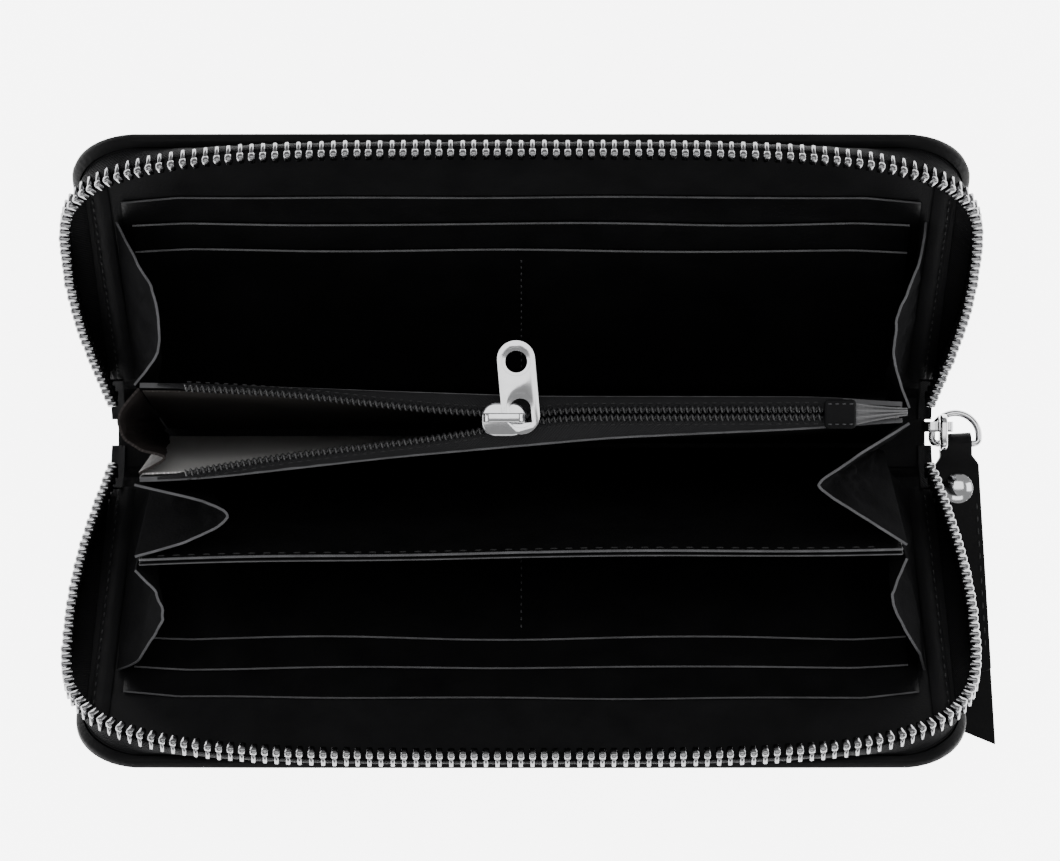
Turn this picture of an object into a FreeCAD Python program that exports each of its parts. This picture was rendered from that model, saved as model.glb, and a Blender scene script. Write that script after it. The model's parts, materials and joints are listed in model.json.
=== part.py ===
import FreeCAD, Part
import math
import os

# Zip-around long wallet, standing open on its spine.
# X runs along the spine, +Y is the rear cover's side, +Z is up.
# The origin is the middle of the spine's flat underside.

# Covers
COVER_WIDTH = 196.0
COVER_LENGTH = 98.0          # hinge line to mouth edge
CORNER_RADIUS = 15.0
FOOT_TAPER = 2.4             # covers narrow by this at each side of the hinge
FOOT_LENGTH = 22.0
LEATHER_THICKNESS = 1.2
BOARD_THICKNESS = 0.7
LINING_THICKNESS = 0.6
HINGE_HALF_GAP = 8.5
HINGE_HEIGHT = 3.0
REAR_TILT = 33.5             # from upright, wallet open
FRONT_TILT = 39.8

# Flat pockets sewn on each cover
BOARD_INSET = 1.0
LINING_INSET = 0.5
SLIP_POCKET_EDGE = 79.0
UPPER_ROW_EDGE = 70.0
LOWER_ROW_EDGE = 61.0
SLIP_POCKET_WIDTH = 176.0
CARD_ROW_WIDTH = 172.0
PLY_THICKNESS = 0.6
PLY_GAP = 0.1
POCKET_FOOT = 5.0

# Main zip
TAPE_HEIGHT = 5.0
TAPE_THICKNESS = 0.7
TOOTH_LENGTH = 3.2
TOOTH_WIDTH = 1.2
TOOTH_THICKNESS = 2.6
TOOTH_PITCH = 2.5
ZIP_HALF_WIDTH = 100.6       # widest bulge of the chain
ZIP_TOP = 103.8              # furthest bulge of the chain
ZIP_WAIST = 60.0             # where the chain is widest
ZIP_SQUARENESS = 3.9
ZIP_FOOT = 8.0
ZIP_FOOT_HALF_WIDTH = 94.6
TAPE_SEAM_INSET = 2.0

# Spine
SPINE_LENGTH = 188.0
SPINE_WIDTH = 17.0
SPINE_LEATHER = 1.2
SPINE_BOARD = 0.7
SPINE_LINING = 0.6

# Coin pocket in the middle of the wallet
COIN_TOP = 78.5
COIN_WALL = 1.2
COIN_LINING = 0.5
COIN_FOOT_Y = 2.6
COIN_ZIP_HEIGHT = 81.0
COIL_WIDTH = 1.9
COIL_HEIGHT = 1.6
COIN_TAPE = 0.45
COIN_CHAIN_RIGHT = 65.5
COIN_CHAIN_LEFT = -73.0

# Coin slider and its pull
SLIDER_X = -3.7
SLIDER_Y = 2.8
SLIDER_LENGTH = 9.5
SLIDER_WIDTH = 7.1
PLATE_THICKNESS = 1.0
PLATE_GAP = 2.2
PULL_LENGTH = 20.4
PULL_WIDTH = 8.2
PULL_THICKNESS = 1.3
PULL_YAW = 5.0
PULL_HOLE_RADIUS = 2.4
PULL_HOLE_PLACE = 15.8
ARCH_RADIUS = 2.3
ARCH_START = 2.4
ARCH_CENTRE = 5.5
BAIL_HALF_LENGTH = 4.45
BAIL_OFFSET = 0.4
BAIL_WIDTH = 2.0
BAIL_RISE = 3.3
BAIL_BAR = 1.0
BAIL_CORNER = 1.6

# Divider between the middle and front compartments
DIVIDER_Y = -4.2
DIVIDER_TILT = 17.0
DIVIDER_HEIGHT = 77.0
DIVIDER_WIDTH = 166.6
DIVIDER_PLY = 0.7

# Main slider, ring and wrist strap at the right-hand end
MAIN_SLIDER_X = 97.2
MAIN_SLIDER_DEPTH = 1.6
MAIN_SLIDER_HALF_WIDTH = 4.2
MAIN_SLIDER_LOW = 4.8
MAIN_SLIDER_HIGH = 12.4
RING_X = 101.4
RING_Y = -1.0
RING_Z = 2.5
RING_RADIUS = 5.5
RING_WIRE = 0.8
RING_BAR_DROP = 1.6
STRAP_WIDTH = 10.4
STRAP_PLY = 1.2
STRAP_YAW = 3.5
STRAP_UPPER_LENGTH = 53.0
STRAP_LOWER_LENGTH = 71.0
RIVET_RADIUS = 3.6
RIVET_DISTANCE = 10.5

Vec = FreeCAD.Vector
ALONG_X = Vec(1, 0, 0)
UP = Vec(0, 0, 1)


def save(name, shapes):
    """Write one node; several solids become one group."""
    shape = shapes[0] if len(shapes) == 1 else Part.makeCompound(shapes)
    shape.exportStep("parts/" + name + ".step")


def box(low, high):
    size = high - low
    return Part.makeBox(size.x, size.y, size.z, low)


def polyhedron(faces):
    """Closed solid from flat polygons, each a list of points."""
    shell = Part.makeShell([Part.Face(Part.makePolygon(face + [face[0]])) for face in faces])
    solid = Part.makeSolid(shell)
    if solid.Volume < 0:
        solid.reverse()
    return solid


def skin(front, back):
    """Solid between two grids of points, each a list of equal rows."""
    rows = len(front)
    columns = len(front[0])
    faces = []
    for grid, flip in ((front, False), (back, True)):
        for row in range(rows - 1):
            for column in range(columns - 1):
                a, b = grid[row][column], grid[row][column + 1]
                c, d = grid[row + 1][column + 1], grid[row + 1][column]
                faces += [[a, c, b], [a, d, c]] if flip else [[a, b, c], [a, c, d]]
    rim = [(0, c) for c in range(columns)]
    rim += [(r, columns - 1) for r in range(1, rows)]
    rim += [(rows - 1, c) for c in range(columns - 2, -1, -1)]
    rim += [(r, 0) for r in range(rows - 2, 0, -1)]
    for (r0, c0), (r1, c1) in zip(rim, rim[1:] + rim[:1]):
        a, b = front[r0][c0], front[r1][c1]
        c, d = back[r1][c1], back[r0][c0]
        faces += [[b, a, d], [b, d, c]]
    return polyhedron(faces)


def between(points, position):
    """Read y from a list of (x, y) points by straight lines."""
    if position <= points[0][0]:
        return points[0][1]
    for (x0, y0), (x1, y1) in zip(points, points[1:]):
        if position <= x1:
            return y0 + (y1 - y0) * (position - x0) / (x1 - x0)
    return points[-1][1]


def cover_placement(side):
    """Put cover axes (across, along, inwards) in the wallet's frame."""
    tilt = REAR_TILT if side == "rear" else FRONT_TILT
    turn = 0 if side == "rear" else 180
    direction = 1 if side == "rear" else -1
    rotation = FreeCAD.Rotation(UP, turn) * FreeCAD.Rotation(ALONG_X, 90 - tilt)
    return FreeCAD.Placement(Vec(0, direction * HINGE_HALF_GAP, HINGE_HEIGHT), rotation)


def rounded_plate(width, start, end, radius, low, high):
    """Plate in cover axes: rounded at the mouth, drawn in a little towards the hinge."""
    half = width / 2
    foot = half - FOOT_TAPER
    cut = radius * (1 - math.sqrt(0.5))
    left = [Vec(-foot, start, low), Vec(-half, start + FOOT_LENGTH, low), Vec(-half, end - radius, low),
            Vec(-half + cut, end - cut, low), Vec(-half + radius, end, low)]
    p = left + [Vec(-point.x, point.y, low) for point in reversed(left)]
    edges = [Part.LineSegment(p[0], p[1]), Part.LineSegment(p[1], p[2]), Part.Arc(p[2], p[3], p[4]),
             Part.LineSegment(p[4], p[5]), Part.Arc(p[5], p[6], p[7]), Part.LineSegment(p[7], p[8]),
             Part.LineSegment(p[8], p[9]), Part.LineSegment(p[9], p[0])]
    wire = Part.Wire([edge.toShape() for edge in edges])
    return Part.Face(wire).extrude(Vec(0, 0, high - low))


def placed(shape, placement):
    shape.Placement = placement.multiply(shape.Placement)
    return shape


def chain_point(turn):
    """Chain path in cover axes; turn runs 0..1 from the left foot to the right foot."""
    foot_share = 0.18
    if turn < foot_share or turn > 1 - foot_share:
        sign = -1 if turn < 0.5 else 1
        share = min(turn, 1 - turn) / foot_share
        along = ZIP_FOOT + (ZIP_WAIST - ZIP_FOOT) * share
        bulge = math.sin(share * math.pi / 2)
        across = ZIP_FOOT_HALF_WIDTH + (ZIP_HALF_WIDTH - ZIP_FOOT_HALF_WIDTH) * bulge
        return sign * across, along
    angle = math.pi * (1 - (turn - foot_share) / (1 - 2 * foot_share))
    power = 2 / ZIP_SQUARENESS
    across = ZIP_HALF_WIDTH * math.copysign(abs(math.cos(angle)) ** power, math.cos(angle))
    along = ZIP_WAIST + (ZIP_TOP - ZIP_WAIST) * math.sin(angle) ** power
    return across, along


def even_path(step):
    """Points at an even spacing along the chain, each with its direction."""
    fine = [chain_point(i / 4000) for i in range(4001)]
    lengths = [0.0]
    for a, b in zip(fine, fine[1:]):
        lengths.append(lengths[-1] + math.dist(a, b))
    count = int(lengths[-1] / step)
    path = []
    index = 0
    for number in range(count + 1):
        target = lengths[-1] * number / count
        while index < len(fine) - 2 and lengths[index + 1] < target:
            index += 1
        a, b = fine[index], fine[index + 1]
        share = (target - lengths[index]) / max(lengths[index + 1] - lengths[index], 1e-9)
        size = math.dist(a, b)
        point = (a[0] + (b[0] - a[0]) * share, a[1] + (b[1] - a[1]) * share)
        path.append((point, ((b[0] - a[0]) / size, (b[1] - a[1]) / size)))
    return path


def seam_point(across, along):
    """Where the tape is sewn: on the cover's edge nearest to a chain point."""
    half = COVER_WIDTH / 2 - TAPE_SEAM_INSET
    top = COVER_LENGTH - TAPE_SEAM_INSET
    centre_x = half - CORNER_RADIUS
    centre_s = top - CORNER_RADIUS
    sign = 1 if across > 0 else -1
    dx, ds = abs(across) - centre_x, along - centre_s
    if dx > 0 and ds > 0:
        size = math.hypot(dx, ds)
        return sign * (centre_x + CORNER_RADIUS * dx / size), centre_s + CORNER_RADIUS * ds / size
    if dx > 0:
        return sign * half, along
    return across, top


def zip_tape():
    """Standing tape: sewn at the cover's edge, its free edge bulging outwards."""
    inner, outer = [], []
    levels = 3
    for level in range(levels + 1):
        share = level / levels
        inner_row, outer_row = [], []
        for (across, along), (tx, ts) in even_path(9.0):
            seam_x, seam_s = seam_point(across, along)
            lean = math.sin(share * math.pi / 2)
            x = seam_x + (across - seam_x) * lean
            s = seam_s + (along - seam_s) * lean
            half = TAPE_THICKNESS / 2
            height = 0.05 + (TAPE_HEIGHT - 0.05) * share
            inner_row.append(Vec(x + ts * half, s - tx * half, height))
            outer_row.append(Vec(x - ts * half, s + tx * half, height))
        inner.append(inner_row)
        outer.append(outer_row)
    return skin(inner, outer)


def zip_teeth():
    teeth = []
    tooth = box(Vec(-TOOTH_THICKNESS / 2, -TOOTH_WIDTH / 2, TAPE_HEIGHT),
                Vec(TOOTH_THICKNESS / 2, TOOTH_WIDTH / 2, TAPE_HEIGHT + TOOTH_LENGTH))
    for (across, along), (tx, ts) in even_path(TOOTH_PITCH):
        copy = tooth.copy()
        angle = math.degrees(math.atan2(ts, tx)) - 90
        copy.Placement = FreeCAD.Placement(Vec(across, along, 0), FreeCAD.Rotation(UP, angle))
        teeth.append(copy)
    return teeth


def centre_stitches(level):
    """Short stitches up the middle that part the two columns of card slots."""
    length, pitch = 2.0, 3.2
    count = int((LOWER_ROW_EDGE - POCKET_FOOT - 4) / pitch)
    starts = [POCKET_FOOT + 2 + pitch * i for i in range(count)]
    return [box(Vec(-0.25, start, level), Vec(0.25, start + length, level + 0.25)) for start in starts]


def make_cover(side):
    place = cover_placement(side)
    lining_back = -LINING_THICKNESS
    board_back = lining_back - BOARD_THICKNESS
    leather_back = board_back - LEATHER_THICKNESS
    foot = 0.4
    outer = rounded_plate(COVER_WIDTH, foot, COVER_LENGTH, CORNER_RADIUS, leather_back, board_back)
    board = rounded_plate(COVER_WIDTH - 2 * BOARD_INSET, foot + BOARD_INSET, COVER_LENGTH - BOARD_INSET,
                          CORNER_RADIUS, board_back, lining_back)
    lining = rounded_plate(COVER_WIDTH - 2 * LINING_INSET, foot, COVER_LENGTH - LINING_INSET,
                           CORNER_RADIUS, lining_back, 0)
    save(side + "_cover_leather", [placed(outer, place)])
    save(side + "_cover_board", [placed(board, place)])
    save(side + "_cover_lining", [placed(lining, place)])

    level = PLY_GAP
    pockets = (("slip_pocket", SLIP_POCKET_WIDTH, SLIP_POCKET_EDGE),
               ("card_row_upper", CARD_ROW_WIDTH, UPPER_ROW_EDGE),
               ("card_row_lower", CARD_ROW_WIDTH, LOWER_ROW_EDGE))
    for name, width, top in pockets:
        ply = box(Vec(-width / 2, POCKET_FOOT, level), Vec(width / 2, top, level + PLY_THICKNESS))
        save(side + "_" + name, [placed(ply, place)])
        level += PLY_THICKNESS + PLY_GAP
    save(side + "_centre_stitching", [placed(stitch, place) for stitch in centre_stitches(level - PLY_GAP)])

    save(side + "_zip_tape", [placed(zip_tape(), place)])
    save(side + "_zip_teeth", [placed(tooth, place) for tooth in zip_teeth()])
    for name, sign in (("left", -1), ("right", 1)):
        across = sorted((sign * 91.0, sign * 94.8))
        welt = box(Vec(across[0], ZIP_FOOT + 2, PLY_GAP), Vec(across[1], 84.0, 1.3))
        world_name = name if side == "rear" else {"left": "right", "right": "left"}[name]
        save(side + "_welt_" + world_name, [placed(welt, place)])


def make_spine():
    level = 0.0
    layers = (("spine_leather", SPINE_LEATHER, 0.0), ("spine_board", SPINE_BOARD, 1.5),
              ("spine_lining", SPINE_LINING, 0.5))
    for name, thickness, inset in layers:
        half_x = SPINE_LENGTH / 2 - inset
        half_y = SPINE_WIDTH / 2 - inset
        save(name, [box(Vec(-half_x, -half_y, level), Vec(half_x, half_y, level + thickness))])
        level += thickness


# Top edges of the coin pocket, seen from above: the left end gapes, the right end is pinched.
REAR_EDGE = [(-82.3, 10.9), (-70.0, 10.7), (-26.2, 9.0), (3.9, 8.0), (65.6, 7.9), (83.0, 6.7)]
FRONT_EDGE = [(-82.3, -10.9), (-68.0, -10.2), (-26.2, -5.5), (19.7, -1.4), (62.6, 0.6), (83.0, 2.2)]
CHAIN_LINE = [(-10.0, 2.8), (0.0, 2.8), (10.0, 4.0), (65.5, 4.2)]
REAR_COIL = [(-73.0, 9.7), (0.0, 3.8)]
FRONT_COIL = [(-73.0, -8.8), (0.0, 1.8)]
SPINE_TOP = SPINE_LEATHER + SPINE_BOARD + SPINE_LINING


def wall_grid(edge, direction, depth, top):
    """Rows from the spine up to the pocket's edge, at a depth inside its outer face."""
    grid = []
    for share in (0.0, 0.3, 0.65, 1.0):
        row = []
        for x, _ in edge:
            foot = direction * COIN_FOOT_Y
            z = SPINE_TOP + (top - SPINE_TOP) * share
            rise = (z - SPINE_TOP) / (COIN_TOP - SPINE_TOP)
            y = foot + (between(edge, x) - foot) * rise - direction * depth
            row.append(Vec(x, y, z))
        grid.append(row)
    return grid


def make_coin_pocket():
    for name, edge, direction in (("rear", REAR_EDGE, 1), ("front", FRONT_EDGE, -1)):
        outer = wall_grid(edge, direction, 0, COIN_TOP)
        inner = wall_grid(edge, direction, COIN_WALL, COIN_TOP)
        save("coin_" + name + "_wall", [skin(outer, inner)])
        backing = wall_grid(edge, direction, COIN_WALL + 0.15, COIN_TOP - 1.5)
        lining = wall_grid(edge, direction, COIN_WALL + 0.15 + COIN_LINING, COIN_TOP - 1.5)
        save("coin_" + name + "_lining", [skin(backing, lining)])
        make_coin_zip_side(name, edge, direction)

    tab = box(Vec(66.0, 0.9, COIN_ZIP_HEIGHT - 1.6), Vec(72.5, 7.0, COIN_ZIP_HEIGHT - 0.9))
    fold = box(Vec(66.0, 0.9, COIN_ZIP_HEIGHT + 0.9), Vec(72.5, 7.0, COIN_ZIP_HEIGHT + 1.6))
    save("coin_zip_end_tab", [tab, fold])
    gather_low = [Vec(72.7, 3.4, COIN_ZIP_HEIGHT - 1.2), Vec(83.0, 4.0, COIN_ZIP_HEIGHT - 2.0)]
    gather = [[p + Vec(0, 0, 0) for p in gather_low], [p + Vec(0, 0, 2.2) for p in gather_low]]
    save("coin_zip_gathered_end", [skin(gather, [[p + Vec(0, 1.3, 0) for p in row] for row in gather])])


def coil_y(x, name):
    direction = 1 if name == "rear" else -1
    if x >= 0:
        return between(CHAIN_LINE, x) + direction * (COIL_WIDTH / 2 + 0.05)
    return between(REAR_COIL if name == "rear" else FRONT_COIL, x)


def make_coin_zip_side(name, edge, direction):
    """Nylon coil of one side, and the tape that joins it to the pocket's edge."""
    stations = [COIN_CHAIN_LEFT, -50.0, -25.0, -8.0, 0.0, 10.0, COIN_CHAIN_RIGHT]
    half = COIL_WIDTH / 2
    low, high = COIN_ZIP_HEIGHT - COIL_HEIGHT / 2, COIN_ZIP_HEIGHT + COIL_HEIGHT / 2
    near = [[Vec(x, coil_y(x, name) - half, z) for x in stations] for z in (low, high)]
    far = [[Vec(x, coil_y(x, name) + half, z) for x in stations] for z in (low, high)]
    save("coin_" + name + "_coil", [skin(near, far)])

    lower = [Vec(x, between(edge, x) - direction * 0.3, COIN_TOP + 0.05) for x in stations]
    upper = [Vec(x, coil_y(x, name) + direction * (half + 0.15), COIN_ZIP_HEIGHT - 0.25) for x in stations]
    back = [[], []]
    for a, b in zip(lower, upper):
        rise = b - a
        out = Vec(0, direction * rise.z, -direction * rise.y).normalize() * COIN_TAPE
        back[0].append(a + out)
        back[1].append(b + out)
    save("coin_" + name + "_zip_tape", [skin([lower, upper], back)])


def gusset(top, foot_start, foot_end, thickness):
    """Folded leather fan from the spine up; its folds deepen towards the top."""
    side = 1 if top[0].x > 0 else -1
    count = len(top)
    start, end = top[0], top[-1]
    bottom = []
    for i, point in enumerate(top):
        share = i / (count - 1)
        straight = start.x + (end.x - start.x) * share
        foot = foot_start + (foot_end - foot_start) * share
        bottom.append(Vec(foot.x + (point.x - straight) * 0.12, foot.y, foot.z))
    rows = []
    for share in (0.0, 0.5, 1.0):
        rows.append([b + (t - b) * share for b, t in zip(bottom, top)])
    inward = Vec(-side * thickness, 0, 0)
    return skin(rows, [[point + inward for point in row] for row in rows])


def cover_spot(side, x, along, height):
    across = x if side == "rear" else -x
    return cover_placement(side).multVec(Vec(across, along, height))


def make_gussets():
    thickness = 0.6
    edge = 89.6
    foot = 84.5
    rear_edge = {-1: Vec(-84.2, 10.3, 78), 1: Vec(84.6, 5.3, 78)}
    front_edge = {-1: Vec(-84.2, -11.4, 78), 1: Vec(84.6, 2.0, 78)}
    folds = {
        "gusset_rear_left": [Vec(-84.0, 37.0, 70), Vec(-79.4, 28.0, 75), Vec(-79.2, 17.5, 77)],
        "gusset_rear_right": [Vec(87.5, 37.0, 70), Vec(82.3, 25.0, 75), Vec(81.5, 15.0, 77)],
        "gusset_front_left": [Vec(-79.6, -35.0, 76), Vec(-78.4, -41.0, 74), Vec(-84.0, -50.0, 66)],
        "gusset_front_right": [Vec(82.0, -33.0, 76), Vec(81.6, -38.0, 74), Vec(87.5, -48.0, 66)],
        "gusset_middle_left": [Vec(-69.4, -15.0, 77.5), Vec(-63.4, -18.5, 77.5), Vec(-71.9, -23.5, 77.5)],
        "gusset_middle_right": [Vec(74.5, -4.5, 77.5), Vec(65.2, -11.5, 77.5), Vec(74.0, -18.0, 77.5)],
    }
    for side in (-1, 1):
        name = "left" if side < 0 else "right"
        rear_top = cover_spot("rear", side * edge, 70, 0.6)
        rear_foot = cover_spot("rear", side * edge, 9, 0.6)
        front_top = cover_spot("front", side * edge, 70, 0.6)
        front_foot = cover_spot("front", side * edge, 9, 0.6)
        divider_top = Vec(side * 84.2, DIVIDER_Y - 22.5, 76.5)
        divider_foot = Vec(side * 84.2, DIVIDER_Y - 1.6, 8)
        rear = [rear_top] + folds["gusset_rear_" + name] + [rear_edge[side]]
        save("gusset_rear_" + name, [gusset(rear, rear_foot, Vec(side * foot, 3.4, 6), thickness)])
        front = [divider_top - Vec(0, 1.6, 0)] + folds["gusset_front_" + name] + [front_top]
        start = divider_foot - Vec(0, 1.2, 0)
        save("gusset_front_" + name, [gusset(front, start, front_foot, thickness)])
        middle = [front_edge[side]] + folds["gusset_middle_" + name] + [divider_top + Vec(0, 1.4, 0)]
        start = Vec(side * foot, -2.9, 6)
        save("gusset_middle_" + name, [gusset(middle, start, divider_foot + Vec(0, 1.2, 0), thickness)])

    gape = [Vec(-83.2, 9.6, 78), Vec(-87.5, 4.1, 78), Vec(-86.5, -0.9, 78), Vec(-82.9, -3.7, 78),
            Vec(-77.4, -5.6, 78), Vec(-83.2, -9.0, 78)]
    save("coin_gusset_left", [gusset(gape, Vec(-83.2, 1.0, 4), Vec(-83.2, -1.0, 4), thickness)])


def make_divider():
    rotation = FreeCAD.Rotation(ALONG_X, DIVIDER_TILT)
    place = FreeCAD.Placement(Vec(0, DIVIDER_Y, HINGE_HEIGHT), rotation)
    half = DIVIDER_WIDTH / 2
    for name, low, high in (("rear", 0.02, DIVIDER_PLY), ("front", -DIVIDER_PLY, -0.02)):
        ply = box(Vec(-half, low, 0.3), Vec(half, high, DIVIDER_HEIGHT))
        save("divider_" + name + "_ply", [placed(ply, place)])
    length, pitch, margin = 2.2, 3.3, 3.0
    count = int((DIVIDER_WIDTH - 2 * margin) / pitch)
    stitches = []
    for number in range(count):
        x = -half + margin + pitch * number
        stitch = box(Vec(x, DIVIDER_PLY, DIVIDER_HEIGHT - 1.8),
                     Vec(x + length, DIVIDER_PLY + 0.2, DIVIDER_HEIGHT - 1.4))
        stitches.append(placed(stitch, place))
    save("divider_stitching", stitches)


def make_coin_slider():
    half_l, half_w = SLIDER_LENGTH / 2, SLIDER_WIDTH / 2
    bottom = COIN_ZIP_HEIGHT - PLATE_GAP / 2 - PLATE_THICKNESS
    top = COIN_ZIP_HEIGHT + PLATE_GAP / 2
    plates = []
    for level, wide in ((bottom, half_w - 0.7), (top, half_w)):
        narrow = wide - 1.2
        p = [Vec(-half_l, -narrow, 0), Vec(-1.0, -wide, 0), Vec(half_l, -narrow, 0),
             Vec(half_l, narrow, 0), Vec(-1.0, wide, 0), Vec(-half_l, narrow, 0)]
        edges = [Part.Arc(p[0], p[1], p[2]), Part.LineSegment(p[2], p[3]),
                 Part.Arc(p[3], p[4], p[5]), Part.LineSegment(p[5], p[0])]
        plate = Part.Face(Part.Wire([edge.toShape() for edge in edges])).extrude(Vec(0, 0, PLATE_THICKNESS))
        plate.translate(Vec(SLIDER_X, SLIDER_Y, level))
        plates.append(plate)
    nose, half_post = SLIDER_X - half_l, 0.25
    post = box(Vec(nose, SLIDER_Y - half_post, bottom), Vec(nose + 0.9, SLIDER_Y + half_post, top + 0.2))
    body = plates[0].fuse([plates[1], post]).removeSplitter()
    save("coin_slider_body", [body])

    # The bail is a flat arch along the slider, open underneath for the pull.
    base = top + PLATE_THICKNESS
    y = SLIDER_Y + BAIL_OFFSET
    left, right, half = SLIDER_X - BAIL_HALF_LENGTH, SLIDER_X + BAIL_HALF_LENGTH, BAIL_WIDTH / 2
    outside = box(Vec(left, y - half, base), Vec(right, y + half, base + BAIL_RISE))
    corners = [edge for edge in outside.Edges
               if abs(edge.Length - BAIL_WIDTH) < 0.01 and edge.CenterOfMass.z > base + 1]
    outside = outside.makeFillet(BAIL_CORNER, corners)
    inside = box(Vec(left + BAIL_BAR, y - BAIL_WIDTH, base - 1),
                 Vec(right - BAIL_BAR, y + BAIL_WIDTH, base + BAIL_RISE - BAIL_BAR))
    save("coin_slider_bail", [outside.cut(inside)])

    half = PULL_WIDTH / 2
    low = base + 0.4
    body = Part.makeCylinder(half, PULL_THICKNESS, Vec(0, PULL_LENGTH - half, 0))
    body = body.fuse(box(Vec(-half, half, 0), Vec(half, PULL_LENGTH - half, PULL_THICKNESS)))
    body = body.fuse(Part.makeCylinder(half, PULL_THICKNESS, Vec(0, half, 0))).removeSplitter()
    hole = Part.makeCylinder(PULL_HOLE_RADIUS, 3 * PULL_THICKNESS, Vec(0, PULL_HOLE_PLACE, -PULL_THICKNESS))
    arch = box(Vec(-ARCH_RADIUS, ARCH_START, -PULL_THICKNESS), Vec(ARCH_RADIUS, ARCH_CENTRE, 2 * PULL_THICKNESS))
    arch = arch.fuse(Part.makeCylinder(ARCH_RADIUS, 3 * PULL_THICKNESS, Vec(0, ARCH_CENTRE, -PULL_THICKNESS)))
    tab = body.cut(hole).cut(arch)
    tab.Placement = FreeCAD.Placement(Vec(0.35, -0.4, low), FreeCAD.Rotation(UP, PULL_YAW))
    save("coin_pull_tab", [tab])


def ring_path():
    """D-shaped centre line: half circle, short sides, straight bar."""
    corner = 1.2
    r = RING_RADIUS
    left, right = RING_X - r, RING_X + r
    y0, y1 = RING_Y, RING_Y - RING_BAR_DROP
    k = corner * (1 - math.sqrt(0.5))
    at = lambda x, y: Vec(x, y, RING_Z)
    edges = [Part.Arc(at(right, y0), at(RING_X, y0 + r), at(left, y0)),
             Part.LineSegment(at(left, y0), at(left, y1 + corner)),
             Part.Arc(at(left, y1 + corner), at(left + k, y1 + k), at(left + corner, y1)),
             Part.LineSegment(at(left + corner, y1), at(right - corner, y1)),
             Part.Arc(at(right - corner, y1), at(right - k, y1 + k), at(right, y1 + corner)),
             Part.LineSegment(at(right, y1 + corner), at(right, y0))]
    return Part.Wire([edge.toShape() for edge in edges])


def make_main_slider():
    """Zip slider at the bottom of the right-hand side, with a hooked bail round the ring."""
    inner, outer = MAIN_SLIDER_X, MAIN_SLIDER_X + MAIN_SLIDER_DEPTH
    half = MAIN_SLIDER_HALF_WIDTH
    body = box(Vec(inner, -half, MAIN_SLIDER_LOW), Vec(outer, half, MAIN_SLIDER_HIGH))
    corners = [edge for edge in body.Edges if abs(edge.Length - MAIN_SLIDER_DEPTH) < 0.01]
    save("main_slider_body", [body.makeFillet(2.6, corners)])
    # The bail leaves the slider's face, drops inside the ring, passes under its wire
    # and comes back up to the slider's foot.
    y0, y1 = 0.1, 2.5
    bar = 0.9
    hook_outer, hook_inner, hook_low = 100.4, 94.2, 0.3
    hook_top, foot_top = 10.6, 6.4
    outline = [(outer, hook_top), (hook_outer, hook_top), (hook_outer, hook_low), (hook_inner, hook_low),
               (hook_inner, foot_top), (inner, foot_top),
               (inner, foot_top - bar), (hook_inner + bar, foot_top - bar),
               (hook_inner + bar, hook_low + bar), (hook_outer - bar, hook_low + bar),
               (hook_outer - bar, hook_top - bar), (outer, hook_top - bar)]
    points = [Vec(x, y0, z) for x, z in outline]
    face = Part.Face(Part.makePolygon(points + [points[0]]))
    save("main_slider_bail", [face.extrude(Vec(0, y1 - y0, 0))])

    path = ring_path()
    section = Part.Wire(Part.makeCircle(RING_WIRE, Vec(RING_X + RING_RADIUS, RING_Y, RING_Z), Vec(0, 1, 0)))
    ring = path.makePipeShell([section], True, True)
    save("d_ring", [ring])


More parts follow.
